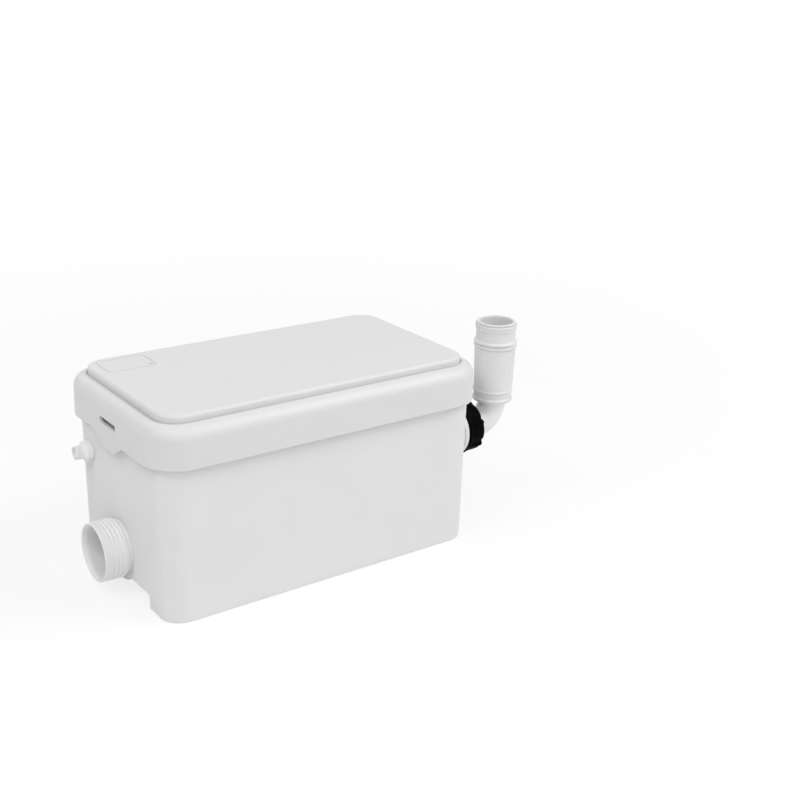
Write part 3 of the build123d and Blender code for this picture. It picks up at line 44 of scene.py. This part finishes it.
# A colour written as sRGB hex, turned to linear light
def hexColour(code):
    rgb = np.array([int(code[i:i + 2], 16) / 255 for i in (1, 3, 5)])
    linear = np.where(rgb <= 0.04045, rgb / 12.92, ((rgb + 0.055) / 1.055) ** 2.4)
    return (*[float(c) for c in linear], 1.0)


# Adds one shader node: settings are its own properties, links its sockets' values or sources
def addNode(tree, kind, links=None, **settings):
    node = tree.nodes.new(kind)
    for name, value in settings.items():
        setattr(node, name, value)
    for socket, value in (links or {}).items():
        if isinstance(value, bpy.types.NodeSocket):
            tree.links.new(value, node.inputs[socket])
        else:
            node.inputs[socket].default_value = value
    return node


# A mix of two colours: the node's inputs 6 and 7 are the colours, and its output 2 their mix
def mixColours(tree, factor, first, second):
    inputs = {0: factor, 6: first, 7: second}
    return addNode(tree, "ShaderNodeMix", inputs, data_type="RGBA").outputs[2]


# What all finishes share: the noises' detail, the span of the fine noise that the gloss follows,
# the unevenness of bands, and the samples that soften an edge
finishBasics = {
    "driftDetail": 3.0, "grainDetail": 2.0, "grainSpan": (0.3, 0.7), "bandWobble": 0.4,
    "edgeSamples": 6}


# A finish: two tones that drift, a fine grain in the gloss, and a relief of grain, bands or cells
def makeFinish(name, look):
    material = bpy.data.materials.new(name)
    material.use_nodes = True
    tree = material.node_tree
    shader = tree.nodes["Principled BSDF"]
    shader.inputs["Metallic"].default_value = look.get("metallic", 0.0)
    for socket, key in (("IOR", "ior"), ("Coat Weight", "coat"), ("Sheen Weight", "sheen"),
                        ("Specular IOR Level", "glint")):
        if key in look:
            shader.inputs[socket].default_value = look[key]
    place = addNode(tree, "ShaderNodeTexCoord").outputs["Object"]
    broad = addNode(tree, "ShaderNodeTexNoise", {
        "Vector": place, "Scale": 1 / (look["driftMm"] * mm),
        "Detail": finishBasics["driftDetail"]})
    colour = mixColours(
        tree, broad.outputs["Fac"], hexColour(look["colour"]), hexColour(look["shade"]))
    fine = addNode(tree, "ShaderNodeTexNoise", {
        "Vector": place, "Scale": 1 / (look["grainMm"] * mm),
        "Detail": finishBasics["grainDetail"]})
    low, high = finishBasics["grainSpan"]
    smoothest, roughest = look["roughness"]
    gloss = addNode(tree, "ShaderNodeMapRange", {
        "Value": fine.outputs["Fac"], "From Min": low, "From Max": high,
        "To Min": smoothest, "To Max": roughest})
    height = fine.outputs["Fac"]
    if "bandMm" in look:
        # A wave's bands come once each pi/10 of a unit at scale 1
        bands = addNode(tree, "ShaderNodeTexWave", {
            "Vector": place, "Scale": math.pi / 10 / (look["bandMm"] * mm),
            "Distortion": finishBasics["bandWobble"]},
            bands_direction=look["bandAxis"])
        height = bands.outputs["Fac"]
        colour = mixColours(tree, height, hexColour(look["bandColour"]), colour)
    if "cellMm" in look:
        cells = addNode(tree, "ShaderNodeTexVoronoi", {
            "Vector": place, "Scale": 1 / (look["cellMm"] * mm)})
        height = cells.outputs["Distance"]
    tree.links.new(colour, shader.inputs["Base Color"])
    tree.links.new(gloss.outputs["Result"], shader.inputs["Roughness"])
    bump = addNode(tree, "ShaderNodeBump", {
        "Height": height, "Distance": look["reliefMm"] * mm, "Strength": look["strength"]})
    if "edgeMm" in look:
        # Moulded edges are never sharp: the shading turns round them over this radius
        soft = addNode(tree, "ShaderNodeBevel", {"Radius": look["edgeMm"] * mm},
                       samples=finishBasics["edgeSamples"])
        tree.links.new(soft.outputs["Normal"], bump.inputs["Normal"])
    tree.links.new(bump.outputs["Normal"], shader.inputs["Normal"])
    return material


# Polypropylene moulded in a spark-eroded tool: satin, with a fine grain and a faint flow drift.
# The real grain is about 0.2 mm, too fine to show, so it is drawn at 1.1 mm.
palePolypropylene = {
    "colour": "#E6E6E7", "shade": "#E1E1E2", "driftMm": 60, "grainMm": 1.1,
    "roughness": (0.40, 0.50), "ior": 1.49, "reliefMm": 0.05, "strength": 0.16, "edgeMm": 1.2}
# The lid is moulded from a slightly greyer batch of it
lidPolypropylene = dict(palePolypropylene, colour="#DEDEDF", shade="#DADADB")
# The same plastic in smaller fittings, which cool faster and come out a little glossier
paleFitting = {
    "colour": "#E7E7E7", "shade": "#E2E2E3", "driftMm": 22, "grainMm": 0.9,
    "roughness": (0.34, 0.45), "ior": 1.49, "reliefMm": 0.04, "strength": 0.14, "edgeMm": 0.4}
# The sleeve is a separate moulding with a little less pigment
sleeveFitting = dict(paleFitting, colour="#E3E3E3", shade="#DEDEDF")
# The spigots of the inlet end have more white pigment. On the elbow the same whiter tone is painted
# light: it brightens the elbow to make up for the shade it gets.
whiteFitting = dict(paleFitting, colour="#F0F0F0", shade="#EBEBEC")
# Glass-filled nylon, near black and matt
blackNylon = {
    "colour": "#050505", "shade": "#030303", "driftMm": 14, "grainMm": 0.8, "glint": 0.02,
    "roughness": (0.50, 0.62), "ior": 1.53, "reliefMm": 0.05, "strength": 0.25}
# Dark grey polypropylene of the inner mouldings, from a rougher tool
greyPolypropylene = {
    "colour": "#6B6D70", "shade": "#626467", "driftMm": 45, "grainMm": 1.2,
    "roughness": (0.45, 0.60), "ior": 1.49, "reliefMm": 0.06, "strength": 0.22}
# Glossy filled plastic of the impeller
impellerPlastic = {
    "colour": "#34373A", "shade": "#2C2F32", "driftMm": 12, "grainMm": 1.0,
    "roughness": (0.22, 0.34), "ior": 1.54, "reliefMm": 0.04, "strength": 0.15}
# Nitrile rubber: matt black with a grey bloom that drifts over it
nitrileRubber = {
    "colour": "#1D1D1E", "shade": "#2A2A2B", "driftMm": 9, "grainMm": 0.9,
    "roughness": (0.70, 0.88), "ior": 1.52, "sheen": 0.15, "reliefMm": 0.08, "strength": 0.3}
# Pale silicone of the seal behind the discharge collar, where the photograph has no dark line
paleSilicone = {
    "colour": "#D2D2D1", "shade": "#C8C8C8", "driftMm": 9, "grainMm": 0.8,
    "roughness": (0.50, 0.62), "ior": 1.41, "sheen": 0.1, "reliefMm": 0.04, "strength": 0.2}
# Zinc-plated steel: bluish silver with a slightly cloudy plating
zincSteel = {
    "colour": "#C3C6CA", "shade": "#B2B5B9", "driftMm": 3, "grainMm": 0.5, "metallic": 1.0,
    "roughness": (0.24, 0.40), "reliefMm": 0.02, "strength": 0.2}
# Turned stainless steel
stainlessSteel = {
    "colour": "#CBCBCA", "shade": "#BFBFBE", "driftMm": 6, "grainMm": 0.4, "metallic": 1.0,
    "roughness": (0.18, 0.30), "reliefMm": 0.02, "strength": 0.15}
# Stacked electrical sheet with edges dark with oxide: each 0.5 mm sheet is drawn 1 mm thick, so
# that it shows
stackedSheet = {
    "colour": "#8A8C90", "shade": "#7A7C80", "driftMm": 10, "grainMm": 0.6, "metallic": 1.0,
    "roughness": (0.38, 0.55), "bandMm": 1.0, "bandAxis": "Z", "bandColour": "#3C3D40",
    "reliefMm": 0.12, "strength": 0.6}
# Enamelled copper wire, wound in even layers under a clear amber coat. Its darker band colour,
# which falls in the hollows between the turns, is painted shade.
enamelledCopper = {
    "colour": "#B4602C", "shade": "#9C4D20", "driftMm": 7, "grainMm": 0.7, "metallic": 0.7,
    "roughness": (0.25, 0.38), "coat": 0.5, "bandMm": 1.1, "bandAxis": "Z",
    "bandColour": "#5E2A10", "reliefMm": 0.35, "strength": 0.8}
# Pressure-cast aluminium: pale grey with a fine pebbled skin
castAluminium = {
    "colour": "#BDBFC1", "shade": "#AEB0B3", "driftMm": 18, "grainMm": 1.3, "metallic": 1.0,
    "roughness": (0.38, 0.56), "reliefMm": 0.1, "strength": 0.35}
# Open carbon foam: dull black cells about 1.6 mm across
carbonFoam = {
    "colour": "#1A1A1A", "shade": "#101010", "driftMm": 6, "grainMm": 0.8,
    "roughness": (0.85, 0.95), "cellMm": 1.6, "reliefMm": 0.8, "strength": 0.9}
# Soft vinyl sheath of the leads
vinylSheath = {
    "colour": "#232325", "shade": "#1C1C1E", "driftMm": 8, "grainMm": 0.7,
    "roughness": (0.32, 0.44), "ior": 1.54, "reliefMm": 0.03, "strength": 0.2}
# Moulded case of the capacitor, dark and smooth
capacitorCase = {
    "colour": "#3D4147", "shade": "#373B41", "driftMm": 25, "grainMm": 1.0,
    "roughness": (0.26, 0.36), "ior": 1.53, "reliefMm": 0.04, "strength": 0.12}
# Ivory polyamide of the terminal block
ivoryPolyamide = {
    "colour": "#E0DAC8", "shade": "#D6CFBB", "driftMm": 12, "grainMm": 0.8,
    "roughness": (0.36, 0.48), "ior": 1.53, "reliefMm": 0.04, "strength": 0.15}

finishes = {name: makeFinish(name, look) for name, look in (
    ("palePolypropylene", palePolypropylene), ("lidPolypropylene", lidPolypropylene),
    ("paleFitting", paleFitting), ("sleeveFitting", sleeveFitting), ("whiteFitting", whiteFitting),
    ("blackNylon", blackNylon), ("greyPolypropylene", greyPolypropylene),
    ("impellerPlastic", impellerPlastic), ("nitrileRubber", nitrileRubber),
    ("paleSilicone", paleSilicone), ("zincSteel", zincSteel), ("stainlessSteel", stainlessSteel),
    ("stackedSheet", stackedSheet), ("enamelledCopper", enamelledCopper),
    ("castAluminium", castAluminium), ("carbonFoam", carbonFoam),
    ("vinylSheath", vinylSheath), ("capacitorCase", capacitorCase),
    ("ivoryPolyamide", ivoryPolyamide))}
print("finishes made:", len(finishes))

nodeFinish = {
    "palePolypropylene": "tank",
    "lidPolypropylene": "lid filter_cover",
    "paleFitting": "outlet_fitting",
    "sleeveFitting": "discharge_sleeve",
    # on discharge_elbow the whiter finish is painted light
    "whiteFitting": "inlet_spigot vent_spigot discharge_elbow",
    "blackNylon": "union_nut switch_plunger microswitch cable_gland gland_nut",
    "greyPolypropylene": "electrics_tray volute pump_plate suction_strainer outlet_backnut "
                         "pressure_bell switch_base switch_cover",
    "impellerPlastic": "impeller",
    "paleSilicone": "outlet_seal",
    "nitrileRubber": "inlet_seal inlet_flap outlet_flap union_washer tray_gasket "
                     "motor_gasket riser_hose switch_diaphragm shaft_seal",
    "zincSteel": "tray_screws motor_screws pump_screws lower_bearing upper_bearing "
                 "capacitor_clip",
    "stainlessSteel": "inlet_flap_pin outlet_flap_pin hose_clips motor_shaft impeller_nut",
    "stackedSheet": "stator_core rotor_core",
    "enamelledCopper": "stator_windings",
    "castAluminium": "motor_housing motor_cap",
    "carbonFoam": "carbon_filter",
    "vinylSheath": "motor_lead capacitor_lead switch_lead",
    "capacitorCase": "capacitor",
    "ivoryPolyamide": "terminal_block microswitch_button"}
for finish, names in nodeFinish.items():
    for name in names.split():
        mesh = cadNodes[name].data
        mesh.materials.clear()
        mesh.materials.append(finishes[finish])
print("finishes given to the CAD nodes")


sharpAngle = math.radians(40)


# A closed mesh from grids of points in mm, rows by columns. Each row closes on itself. Without
# caps the last row joins the first; with caps, a pair of points for each grid, the end rows
# close in fans on those points. Faces point outwards: the volume they hold is made positive.
# Faces that meet at more than the sharp angle keep their edge.
def gridMesh(name, grids, finish, body, replaced, caps=None):
    allPoints, allFaces, count = [], [], 0
    for number, grid in enumerate(grids):
        rows, columns = grid.shape[:2]
        index = np.arange(rows * columns).reshape(rows, columns)
        lower = index if caps is None else index[:-1]
        upper = np.roll(index, -1, axis=0) if caps is None else index[1:]
        quads = np.stack([lower, np.roll(lower, -1, 1), np.roll(upper, -1, 1), upper], -1)
        quads = quads.reshape(-1, 4)
        points = grid.reshape(-1, 3)
        a, b, c, d = (points[quads[:, k]] for k in range(4))
        outward = np.einsum("ij,ij->", a, np.cross(b, c) + np.cross(c, d)) > 0
        faces = quads.tolist()
        if caps is not None:
            first, last = rows * columns, rows * columns + 1
            points = np.vstack([points, caps[number]])
            ends = ((first, np.roll(index[0], -1), index[0]),
                    (last, index[-1], np.roll(index[-1], -1)))
            for tip, near, far in ends:
                faces += np.stack([np.full(columns, tip), near, far], -1).tolist()
        allFaces += [[count + k for k in (face if outward else face[::-1])] for face in faces]
        allPoints.append(points)
        count += len(points)
    mesh = bpy.data.meshes.new(name)
    mesh.from_pydata((np.vstack(allPoints) * mm).tolist(), [], allFaces)
    mesh.polygons.foreach_set("use_smooth", np.ones(len(allFaces), bool))
    mesh.set_sharp_from_angle(angle=sharpAngle)
    mesh.materials.append(finishes[finish])
    piece = bpy.data.objects.new(name, mesh)
    scene.collection.objects.link(piece)
    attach(piece, body)
    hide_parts(replaced)
    print("made", name, "with", len(allFaces), "faces")


# A closed half section in mm: each corner is (distance along the axis, radius, softness), and
# the run turns at it in a curve that starts and ends that softness away from it. Steps is the
# number of points in each curve.
def softSection(corners, steps=7):
    table = np.array(corners, float)
    place, soft = table[:, :2], table[:, 2:]
    before, after = np.roll(place, 1, axis=0) - place, np.roll(place, -1, axis=0) - place
    start = place + soft * before / np.linalg.norm(before, axis=1, keepdims=True)
    end = place + soft * after / np.linalg.norm(after, axis=1, keepdims=True)
    t = np.linspace(0, 1, steps)[None, :, None]
    curve = (1 - t) ** 2 * start[:, None] + 2 * t * (1 - t) * place[:, None] + t ** 2 * end[:, None]
    return curve.reshape(-1, 2)


# Points round an axis through a centre: along it by one array and out from it by another
def roundAxis(axis, centre, along, radius, angle):
    first, second = radius * np.cos(angle), radius * np.sin(angle)
    along = along + 0 * first
    if axis == "x":
        return np.stack([along, centre[0] + first, centre[1] + second], -1)
    if axis == "y":
        return np.stack([centre[0] + first, along, centre[1] + second], -1)
    return np.stack([centre[0] + first, centre[1] + second, along], -1)


# Goes smoothly from 0 at low and below to 1 at high and above
def smoothStep(value, low, high):
    t = np.clip((value - low) / (high - low), 0, 1)
    return t * t * (3 - 2 * t)


# Inlet spigot with a coarse rounded outside thread. The thread starts further in on the lower
# side and nearly dies out on the side where the mould parts.
inletThread = {
    "centre": (4.3, 33.4), "rimX": -164.7, "innerX": -127.0, "plain": 23.5, "bore": 20.9,
    "mouth": 22.35, "flareEnd": -161.2, "lip": 23.4, "lipLength": 0.9, "neck": 21.6,
    "neckStart": -145.3, "neckEnd": -142.5, "neckSlope": 0.5, "stem": 23.1, "pitch": 3.3,
    "rise": 0.4, "valley": 0.85, "valleySharpness": 1.4, "start": -162.0, "lead": 5.6,
    "leadTurn": 75.0, "runIn": 2.4, "runOut": 1.4, "partTurn": 160.0, "partWidth": 52.0,
    "partShare": 0.96, "rows": 170, "columns": 180}


# Outside radius = plain + shown * (rise - (rise + valley) * wave ^ valley sharpness), where
# wave = (1 + cos(2 pi x / pitch - angle)) / 2. Shown goes from 0 to 1 over the run-in, which
# starts further along by lead * (1 - cos(angle - lead turn)) / 2, and back to 0 over the run-out.
# It drops by the part share in a bell round the part turn.
def buildInletThread(look):
    angle = np.linspace(0, 2 * np.pi, look["columns"], endpoint=False)[None, :]
    x = np.linspace(look["rimX"] + look["lipLength"], look["neckStart"] - look["neckSlope"],
                    look["rows"])[:, None]
    wave = 0.5 + 0.5 * np.cos(2 * np.pi * x / look["pitch"] - angle)
    start = look["start"] + look["lead"] * (
        0.5 - 0.5 * np.cos(angle - math.radians(look["leadTurn"])))
    shown = smoothStep(x, start, start + look["runIn"])
    shown = shown * (1 - smoothStep(x, x[-1] - look["runOut"], x[-1]))
    fromPart = (np.degrees(angle) - look["partTurn"] + 180) % 360 - 180
    shown = shown * (1 - look["partShare"] * np.exp(-(fromPart / look["partWidth"]) ** 2))
    depth = look["rise"] + look["valley"]
    outer = look["plain"] + shown * (look["rise"] - depth * wave ** look["valleySharpness"])
    thread = np.stack([x + 0 * angle, outer], -1)
    rest = softSection([
        (look["neckStart"], look["neck"], 0.4), (look["neckEnd"], look["neck"], 0.3),
        (look["neckEnd"], look["stem"], 0.2), (look["innerX"], look["stem"], 0.4),
        (look["innerX"], look["bore"], 0.4), (look["flareEnd"], look["bore"], 1.4),
        (look["rimX"], look["mouth"], 0.35), (look["rimX"], look["lip"], 0.6)])
    rest = np.repeat(rest[:, None], look["columns"], axis=1)
    section = np.concatenate([thread, rest])
    grid = roundAxis("x", look["centre"], section[..., 0], section[..., 1], angle)
    gridMesh("inletThread", [grid], "whiteFitting", "unit", "inlet_spigot")


buildInletThread(inletThread)

# Discharge sleeve, from the foot up: a banded foot, a body that widens a little, two ridges, a
# neck, a collar with a ring, a groove and a rounded lip
dischargeSleeve = {
    "centre": (191.3, -45.5), "columns": 180,
    # height, radius and softness of each corner of the outside, from the foot up
    "outside": [
        (108.0, 17.1, 0.5), (108.9, 17.5, 0.4), (110.8, 17.5, 0.5), (111.6, 16.5, 0.5),
        (114.6, 16.7, 0.8), (115.9, 16.5, 0.4), (116.7, 17.6, 0.5), (118.4, 17.6, 0.5),
        (119.4, 17.05, 0.4), (154.4, 17.75, 1.2), (156.7, 17.2, 0.6), (157.4, 18.8, 0.5),
        (158.8, 18.8, 0.5), (159.4, 17.2, 0.35), (160.4, 17.2, 0.35), (161.0, 18.8, 0.5),
        (162.3, 18.8, 0.5), (163.2, 17.1, 0.9), (171.9, 17.0, 0.75), (172.9, 17.75, 0.35),
        (175.4, 17.75, 0.25), (175.8, 18.2, 0.3), (177.2, 18.2, 0.55), (177.5, 16.0, 0.2),
        (178.1, 16.0, 0.2), (178.4, 16.9, 0.3)],
    # the lip's round top, the bore, the stop and the socket, back down to the foot
    "inside": [
        (179.5, 16.7, 0.6), (179.5, 14.0, 1.1), (131.7, 14.0, 0.4), (131.7, 9.5, 0.4),
        (129.8, 9.5, 0.3), (129.8, 12.1, 0.3), (108.0, 12.1, 0.6)]}


# A solid of turning: the soft section carried round its axis
def buildTurned(name, axis, look, finish, body, replaced):
    angle = np.linspace(0, 2 * np.pi, look["columns"], endpoint=False)[None, :]
    section = softSection(look["outside"] + look["inside"])[:, None]
    grid = roundAxis(axis, look["centre"], section[..., 0], section[..., 1], angle)
    gridMesh(name, [grid], finish, body, replaced)


buildTurned("dischargeSleeve", "z", dischargeSleeve, "sleeveFitting", "discharge",
            "discharge_sleeve")

# Vent spigot: a short tail that swells into its collar, its clip behind the wall
ventSpigot = {
    "centre": (52.0, 98.0), "columns": 96,
    "outside": [
        (-156.42, 5.15, 0.28), (-155.6, 5.5, 0.5), (-150.6, 5.5, 1.0), (-148.2, 8.5, 1.3),
        (-143.23, 8.5, 0.3), (-143.23, 6.5, 0.15), (-139.83, 6.5, 0.15), (-139.83, 8.45, 0.4),
        (-137.85, 6.5, 0.4)],
    "inside": [(-137.85, 3.5, 0.4), (-153.0, 3.5, 1.0), (-156.42, 4.6, 0.22)]}
buildTurned("ventSpigot", "x", ventSpigot, "whiteFitting", "unit", "vent_spigot")

# Union nut: a flared skirt, and six narrow grip lugs with a hollow before each
unionNut = {
    "centre": (-45.5, 87.7), "columns": 300, "lugCount": 6, "lugTurn": 33.0, "lugReach": 1.3,
    "lugSharpness": 16, "hollowLag": 9.0, "hollowDepth": 1.3, "hollowSharpness": 8,
    "gripStart": 152.9, "gripFull": 155.5, "gripInside": 18.6, "gripOutside": 19.8,
    "widest": 22.45,
    "outside": [
        (149.7, 22.2, 0.5), (152.6, 22.35, 0.75), (153.8, 21.5, 0.65), (165.8, 21.2, 0.85),
        (167.0, 20.3, 0.55)],
    "inside": [
        (167.0, 12.3, 0.5), (164.4, 12.3, 0.3), (164.4, 17.8, 0.5), (149.7, 17.8, 0.6)]}


# Outside radius = section + reach * lobe(angle) ^ sharpness - depth * lobe(angle + lag) ^ sharpness
# where lobe(a) = (1 + cos(n (a - turn))) / 2. Lugs and hollows fade out on the skirt and towards
# the inside, and no radius is over the widest.
def buildUnionNut(look):
    angle = np.linspace(0, 2 * np.pi, look["columns"], endpoint=False)[None, :]
    section = softSection(look["outside"] + look["inside"])[:, None]
    along, radius = section[..., 0], section[..., 1]

    def lobe(lag):
        return 0.5 + 0.5 * np.cos(look["lugCount"] * (angle + math.radians(lag - look["lugTurn"])))

    grip = smoothStep(radius, look["gripInside"], look["gripOutside"])
    grip = grip * smoothStep(along, look["gripStart"], look["gripFull"])
    lug = look["lugReach"] * lobe(0) ** look["lugSharpness"]
    hollow = look["hollowDepth"] * lobe(look["hollowLag"]) ** look["hollowSharpness"]
    radius = np.minimum(radius + grip * (lug - hollow), look["widest"])
    grid = roundAxis("x", look["centre"], along, radius, angle)
    gridMesh("unionNut", [grid], "blackNylon", "union_nut", "union_nut")


buildUnionNut(unionNut)

# Cable gland: domed head with fourteen grip flutes, and its stem through the walls
cableGland = {
    "centre": (84.0, 126.2), "columns": 168, "fluteCount": 14, "fluteDepth": 0.35,
    "headInside": 5.6, "headOutside": 6.3, "fluteEnd": 85.6, "fluteGone": 86.6,
    "outside": [
        (62.945, 5.0, 0.3), (80.52, 5.0, 0.2), (80.52, 6.5, 0.4), (86.4, 6.5, 0.9),
        (88.52, 4.7, 0.7)],
    "inside": [(88.52, 3.6, 0.3), (62.945, 3.6, 0.3)]}


# Radius = section - flute depth * (1 + cos(n angle)) / 2 on the head alone
def buildCableGland(look):
    angle = np.linspace(0, 2 * np.pi, look["columns"], endpoint=False)[None, :]
    section = softSection(look["outside"] + look["inside"])[:, None]
    along, radius = section[..., 0], section[..., 1]
    head = smoothStep(radius, look["headInside"], look["headOutside"])
    head = head * (1 - smoothStep(along, look["fluteEnd"], look["fluteGone"]))
    radius = radius - head * look["fluteDepth"] * (0.5 + 0.5 * np.cos(look["fluteCount"] * angle))
    grid = roundAxis("y", look["centre"], along, radius, angle)
    gridMesh("cableGland", [grid], "blackNylon", "unit", "cable_gland")


buildCableGland(cableGland)

# Pan-head screws with a cross recess
screwLook = {
    "headRadius": 2.9, "headHeight": 2.0, "dome": 0.5, "domePower": 4, "headEdge": 0.1,
    "domeEdge": 0.25, "shank": 1.4, "tipTaper": 0.5, "centre": 0.08, "crossHalf": 0.4,
    "crossReach": 1.8, "crossDepth": 0.95, "crossEdge": 0.16, "rows": 26, "columns": 72}
# The tray's screws run along its long sides and its ends. The motor's and the pump's stand on one
# ring round the motor's axis.
trayHalf = (139.445, 76.445)
motorAxis, motorRing = (18.918, -11.5), 48.5
ringPlaces = [(motorAxis[0] + motorRing * dx, motorAxis[1] + motorRing * dy)
              for dx, dy in ((1, 0), (0, 1), (-1, 0), (0, -1))]
# Heights of the underside of the head and of the tip: the pump's screws point upwards
screwSets = {
    "trayScrews": {
        "places": [(x, side * trayHalf[1]) for side in (-1, 1) for x in (-100.0, 0.0, 100.0)]
        + [(side * trayHalf[0], y) for side in (-1, 1) for y in (-35.0, 35.0)],
        "head": 143.0, "tip": 126.0, "replaced": "tray_screws"},
    "motorScrews": {
        "places": ringPlaces, "head": 125.5, "tip": 111.0, "replaced": "motor_screws"},
    "pumpScrews": {
        "places": ringPlaces, "head": 39.0, "tip": 52.0, "replaced": "pump_screws"}}


# Top of the head at radius r = head height - dome * (r / head radius) ^ dome power, less the cross
# depth inside two crossed bars with soft edges. Then the head's side, the shank and the tip.
def buildScrews(name, screwSet, look):
    angle = np.linspace(0, 2 * np.pi, look["columns"], endpoint=False)[None, :]
    wide, edge, taper = look["headRadius"], look["headEdge"], look["tipTaper"]
    top = np.linspace(look["centre"], wide - edge, look["rows"])[:, None]
    acrossBar, alongBar = np.abs(top * np.cos(angle)), np.abs(top * np.sin(angle))
    narrow, long = look["crossHalf"], look["crossReach"]

    def bar(first, second):
        return (1 - smoothStep(first, narrow, narrow + look["crossEdge"])) * (
            1 - smoothStep(second, long, long + look["crossEdge"]))

    cross = np.maximum(bar(acrossBar, alongBar), bar(alongBar, acrossBar))
    domed = look["headHeight"] - look["dome"] * (top / wide) ** look["domePower"]
    height = domed - look["crossDepth"] * cross
    reach = abs(screwSet["tip"] - screwSet["head"])
    below = np.array([
        (wide, look["headHeight"] - look["dome"] - look["domeEdge"]), (wide, edge),
        (wide - edge, 0.0), (look["shank"], 0.0), (look["shank"], taper - reach),
        (look["shank"] - taper, -reach), (look["centre"], -reach)])[:, None]
    radius = np.concatenate([top + 0 * angle, below[..., 0] + 0 * angle])
    height = np.concatenate([height, below[..., 1] + 0 * angle])
    upright = 1 if screwSet["head"] > screwSet["tip"] else -1
    grids, caps = [], []
    for place in screwSet["places"]:
        grids.append(roundAxis("z", place, screwSet["head"] + upright * height, radius, angle))
        caps.append([(*place, screwSet["head"] + upright * height[row, 0]) for row in (0, -1)])
    gridMesh(name, grids, "zincSteel", "unit", screwSet["replaced"], np.array(caps))


for name, screwSet in screwSets.items():
    buildScrews(name, screwSet, screwLook)

# Camera at the photograph's place, worked out from the object's own straight edges
cameraLook = {
    "place": (-0.4953, -0.82145, 0.48377), "right": (0.80487, -0.59267, 0.03046),
    "up": (0.18202, 0.29538, 0.93789), "forward": (0.56486, 0.74933, -0.34562), "lens": 55.94,
    "sensor": 36.0, "clip": (0.01, 50.0)}
cameraData = bpy.data.cameras.new("camera")
cameraData.sensor_width = cameraLook["sensor"]
cameraData.lens = cameraLook["lens"]
cameraData.clip_start, cameraData.clip_end = cameraLook["clip"]
camera = bpy.data.objects.new("camera", cameraData)
backward = -Vector(cameraLook["forward"])
turn = Matrix((Vector(cameraLook["right"]), Vector(cameraLook["up"]), backward)).transposed()
camera.matrix_world = Matrix.Translation(cameraLook["place"]) @ turn.to_4x4()
scene.collection.objects.link(camera)
scene.camera = camera
print("camera placed")

# Soft studio light: each lamp is a square panel aimed at the middle of the object, given as its
# name, place, side and power. The world lights the object less than it shows behind it.
studio = {
    "aim": (0.02, -0.02, 0.08), "world": 0.34, "backdrop": 1.0,
    "lamps": (("overhead", (0.1, -0.1, 1.7), 1.6, 1.4),
              ("frontLeft", (-0.7, -1.5, 0.7), 1.2, 4.5),
              ("leftHigh", (-1.2, -0.3, 1.6), 1.1, 12.7),
              ("rightHigh", (1.2, -1.0, 1.5), 1.1, 19.2),
              ("back", (-0.3, 1.5, 1.2), 1.2, 4.0))}
aim = Vector(studio["aim"])
for name, place, size, power in studio["lamps"]:
    lampData = bpy.data.lights.new(name, "AREA")
    lampData.size, lampData.energy = size, power
    lamp = bpy.data.objects.new(name, lampData)
    lamp.location = place
    lamp.rotation_euler = (aim - Vector(place)).to_track_quat("-Z", "Y").to_euler()
    scene.collection.objects.link(lamp)


# 1 for what the camera, gloss and glass see, 0 for what lights the object
def seenOrLit(tree):
    path = addNode(tree, "ShaderNodeLightPath").outputs
    seen = path["Is Camera Ray"]
    for ray in ("Is Glossy Ray", "Is Transmission Ray"):
        larger = addNode(tree, "ShaderNodeMath", {0: seen, 1: path[ray]}, operation="MAXIMUM")
        seen = larger.outputs[0]
    return seen


world = bpy.data.worlds.new("studio")
world.use_nodes = True
scene.world = world
tree = world.node_tree
tree.nodes.clear()
ambient = addNode(tree, "ShaderNodeBackground", {
    "Color": hexColour("#FFFFFF"), "Strength": studio["world"]})
backdrop = addNode(tree, "ShaderNodeBackground", {
    "Color": hexColour("#FFFFFF"), "Strength": studio["backdrop"]})
both = addNode(tree, "ShaderNodeMixShader", {
    0: seenOrLit(tree), 1: ambient.outputs[0], 2: backdrop.outputs[0]})
addNode(tree, "ShaderNodeOutputWorld", {"Surface": both.outputs[0]})

# White paper floor. It keeps the object's shadow. The share of glow in what the camera sees of it
# grows from near the object to far out, where the floor is full white.
floorLook = {
    "half": 12.0, "paper": "#F0F0F0", "white": 1.04, "near": 0.5, "far": 1.5,
    "nearGlow": 0.74, "farGlow": 1.0}
floorMesh = bpy.data.meshes.new("floor")
half = floorLook["half"]
floorMesh.from_pydata(
    [(-half, -half, 0), (half, -half, 0), (half, half, 0), (-half, half, 0)], [], [(0, 1, 2, 3)])
floorMaterial = bpy.data.materials.new("whitePaper")
floorMaterial.use_nodes = True
tree = floorMaterial.node_tree
tree.nodes.clear()
paper = addNode(tree, "ShaderNodeBsdfDiffuse", {"Color": hexColour(floorLook["paper"])})
glow = addNode(tree, "ShaderNodeEmission", {
    "Color": hexColour("#FFFFFF"), "Strength": floorLook["white"]})
place = addNode(tree, "ShaderNodeTexCoord").outputs["Object"]
distance = addNode(tree, "ShaderNodeVectorMath", {0: place}, operation="LENGTH")
whiter = addNode(tree, "ShaderNodeMapRange", {
    "Value": distance.outputs["Value"], "From Min": floorLook["near"],
    "From Max": floorLook["far"], "To Min": floorLook["nearGlow"],
    "To Max": floorLook["farGlow"]})
share = addNode(tree, "ShaderNodeMath", {
    0: seenOrLit(tree), 1: whiter.outputs["Result"]}, operation="MULTIPLY")
mixed = addNode(tree, "ShaderNodeMixShader", {
    0: share.outputs[0], 1: paper.outputs[0], 2: glow.outputs[0]})
addNode(tree, "ShaderNodeOutputMaterial", {"Surface": mixed.outputs[0]})
floorMesh.materials.append(floorMaterial)
floor = bpy.data.objects.new("floor", floorMesh)
scene.collection.objects.link(floor)
print("lamps, world and floor made")

scene.view_settings.view_transform = "Standard"
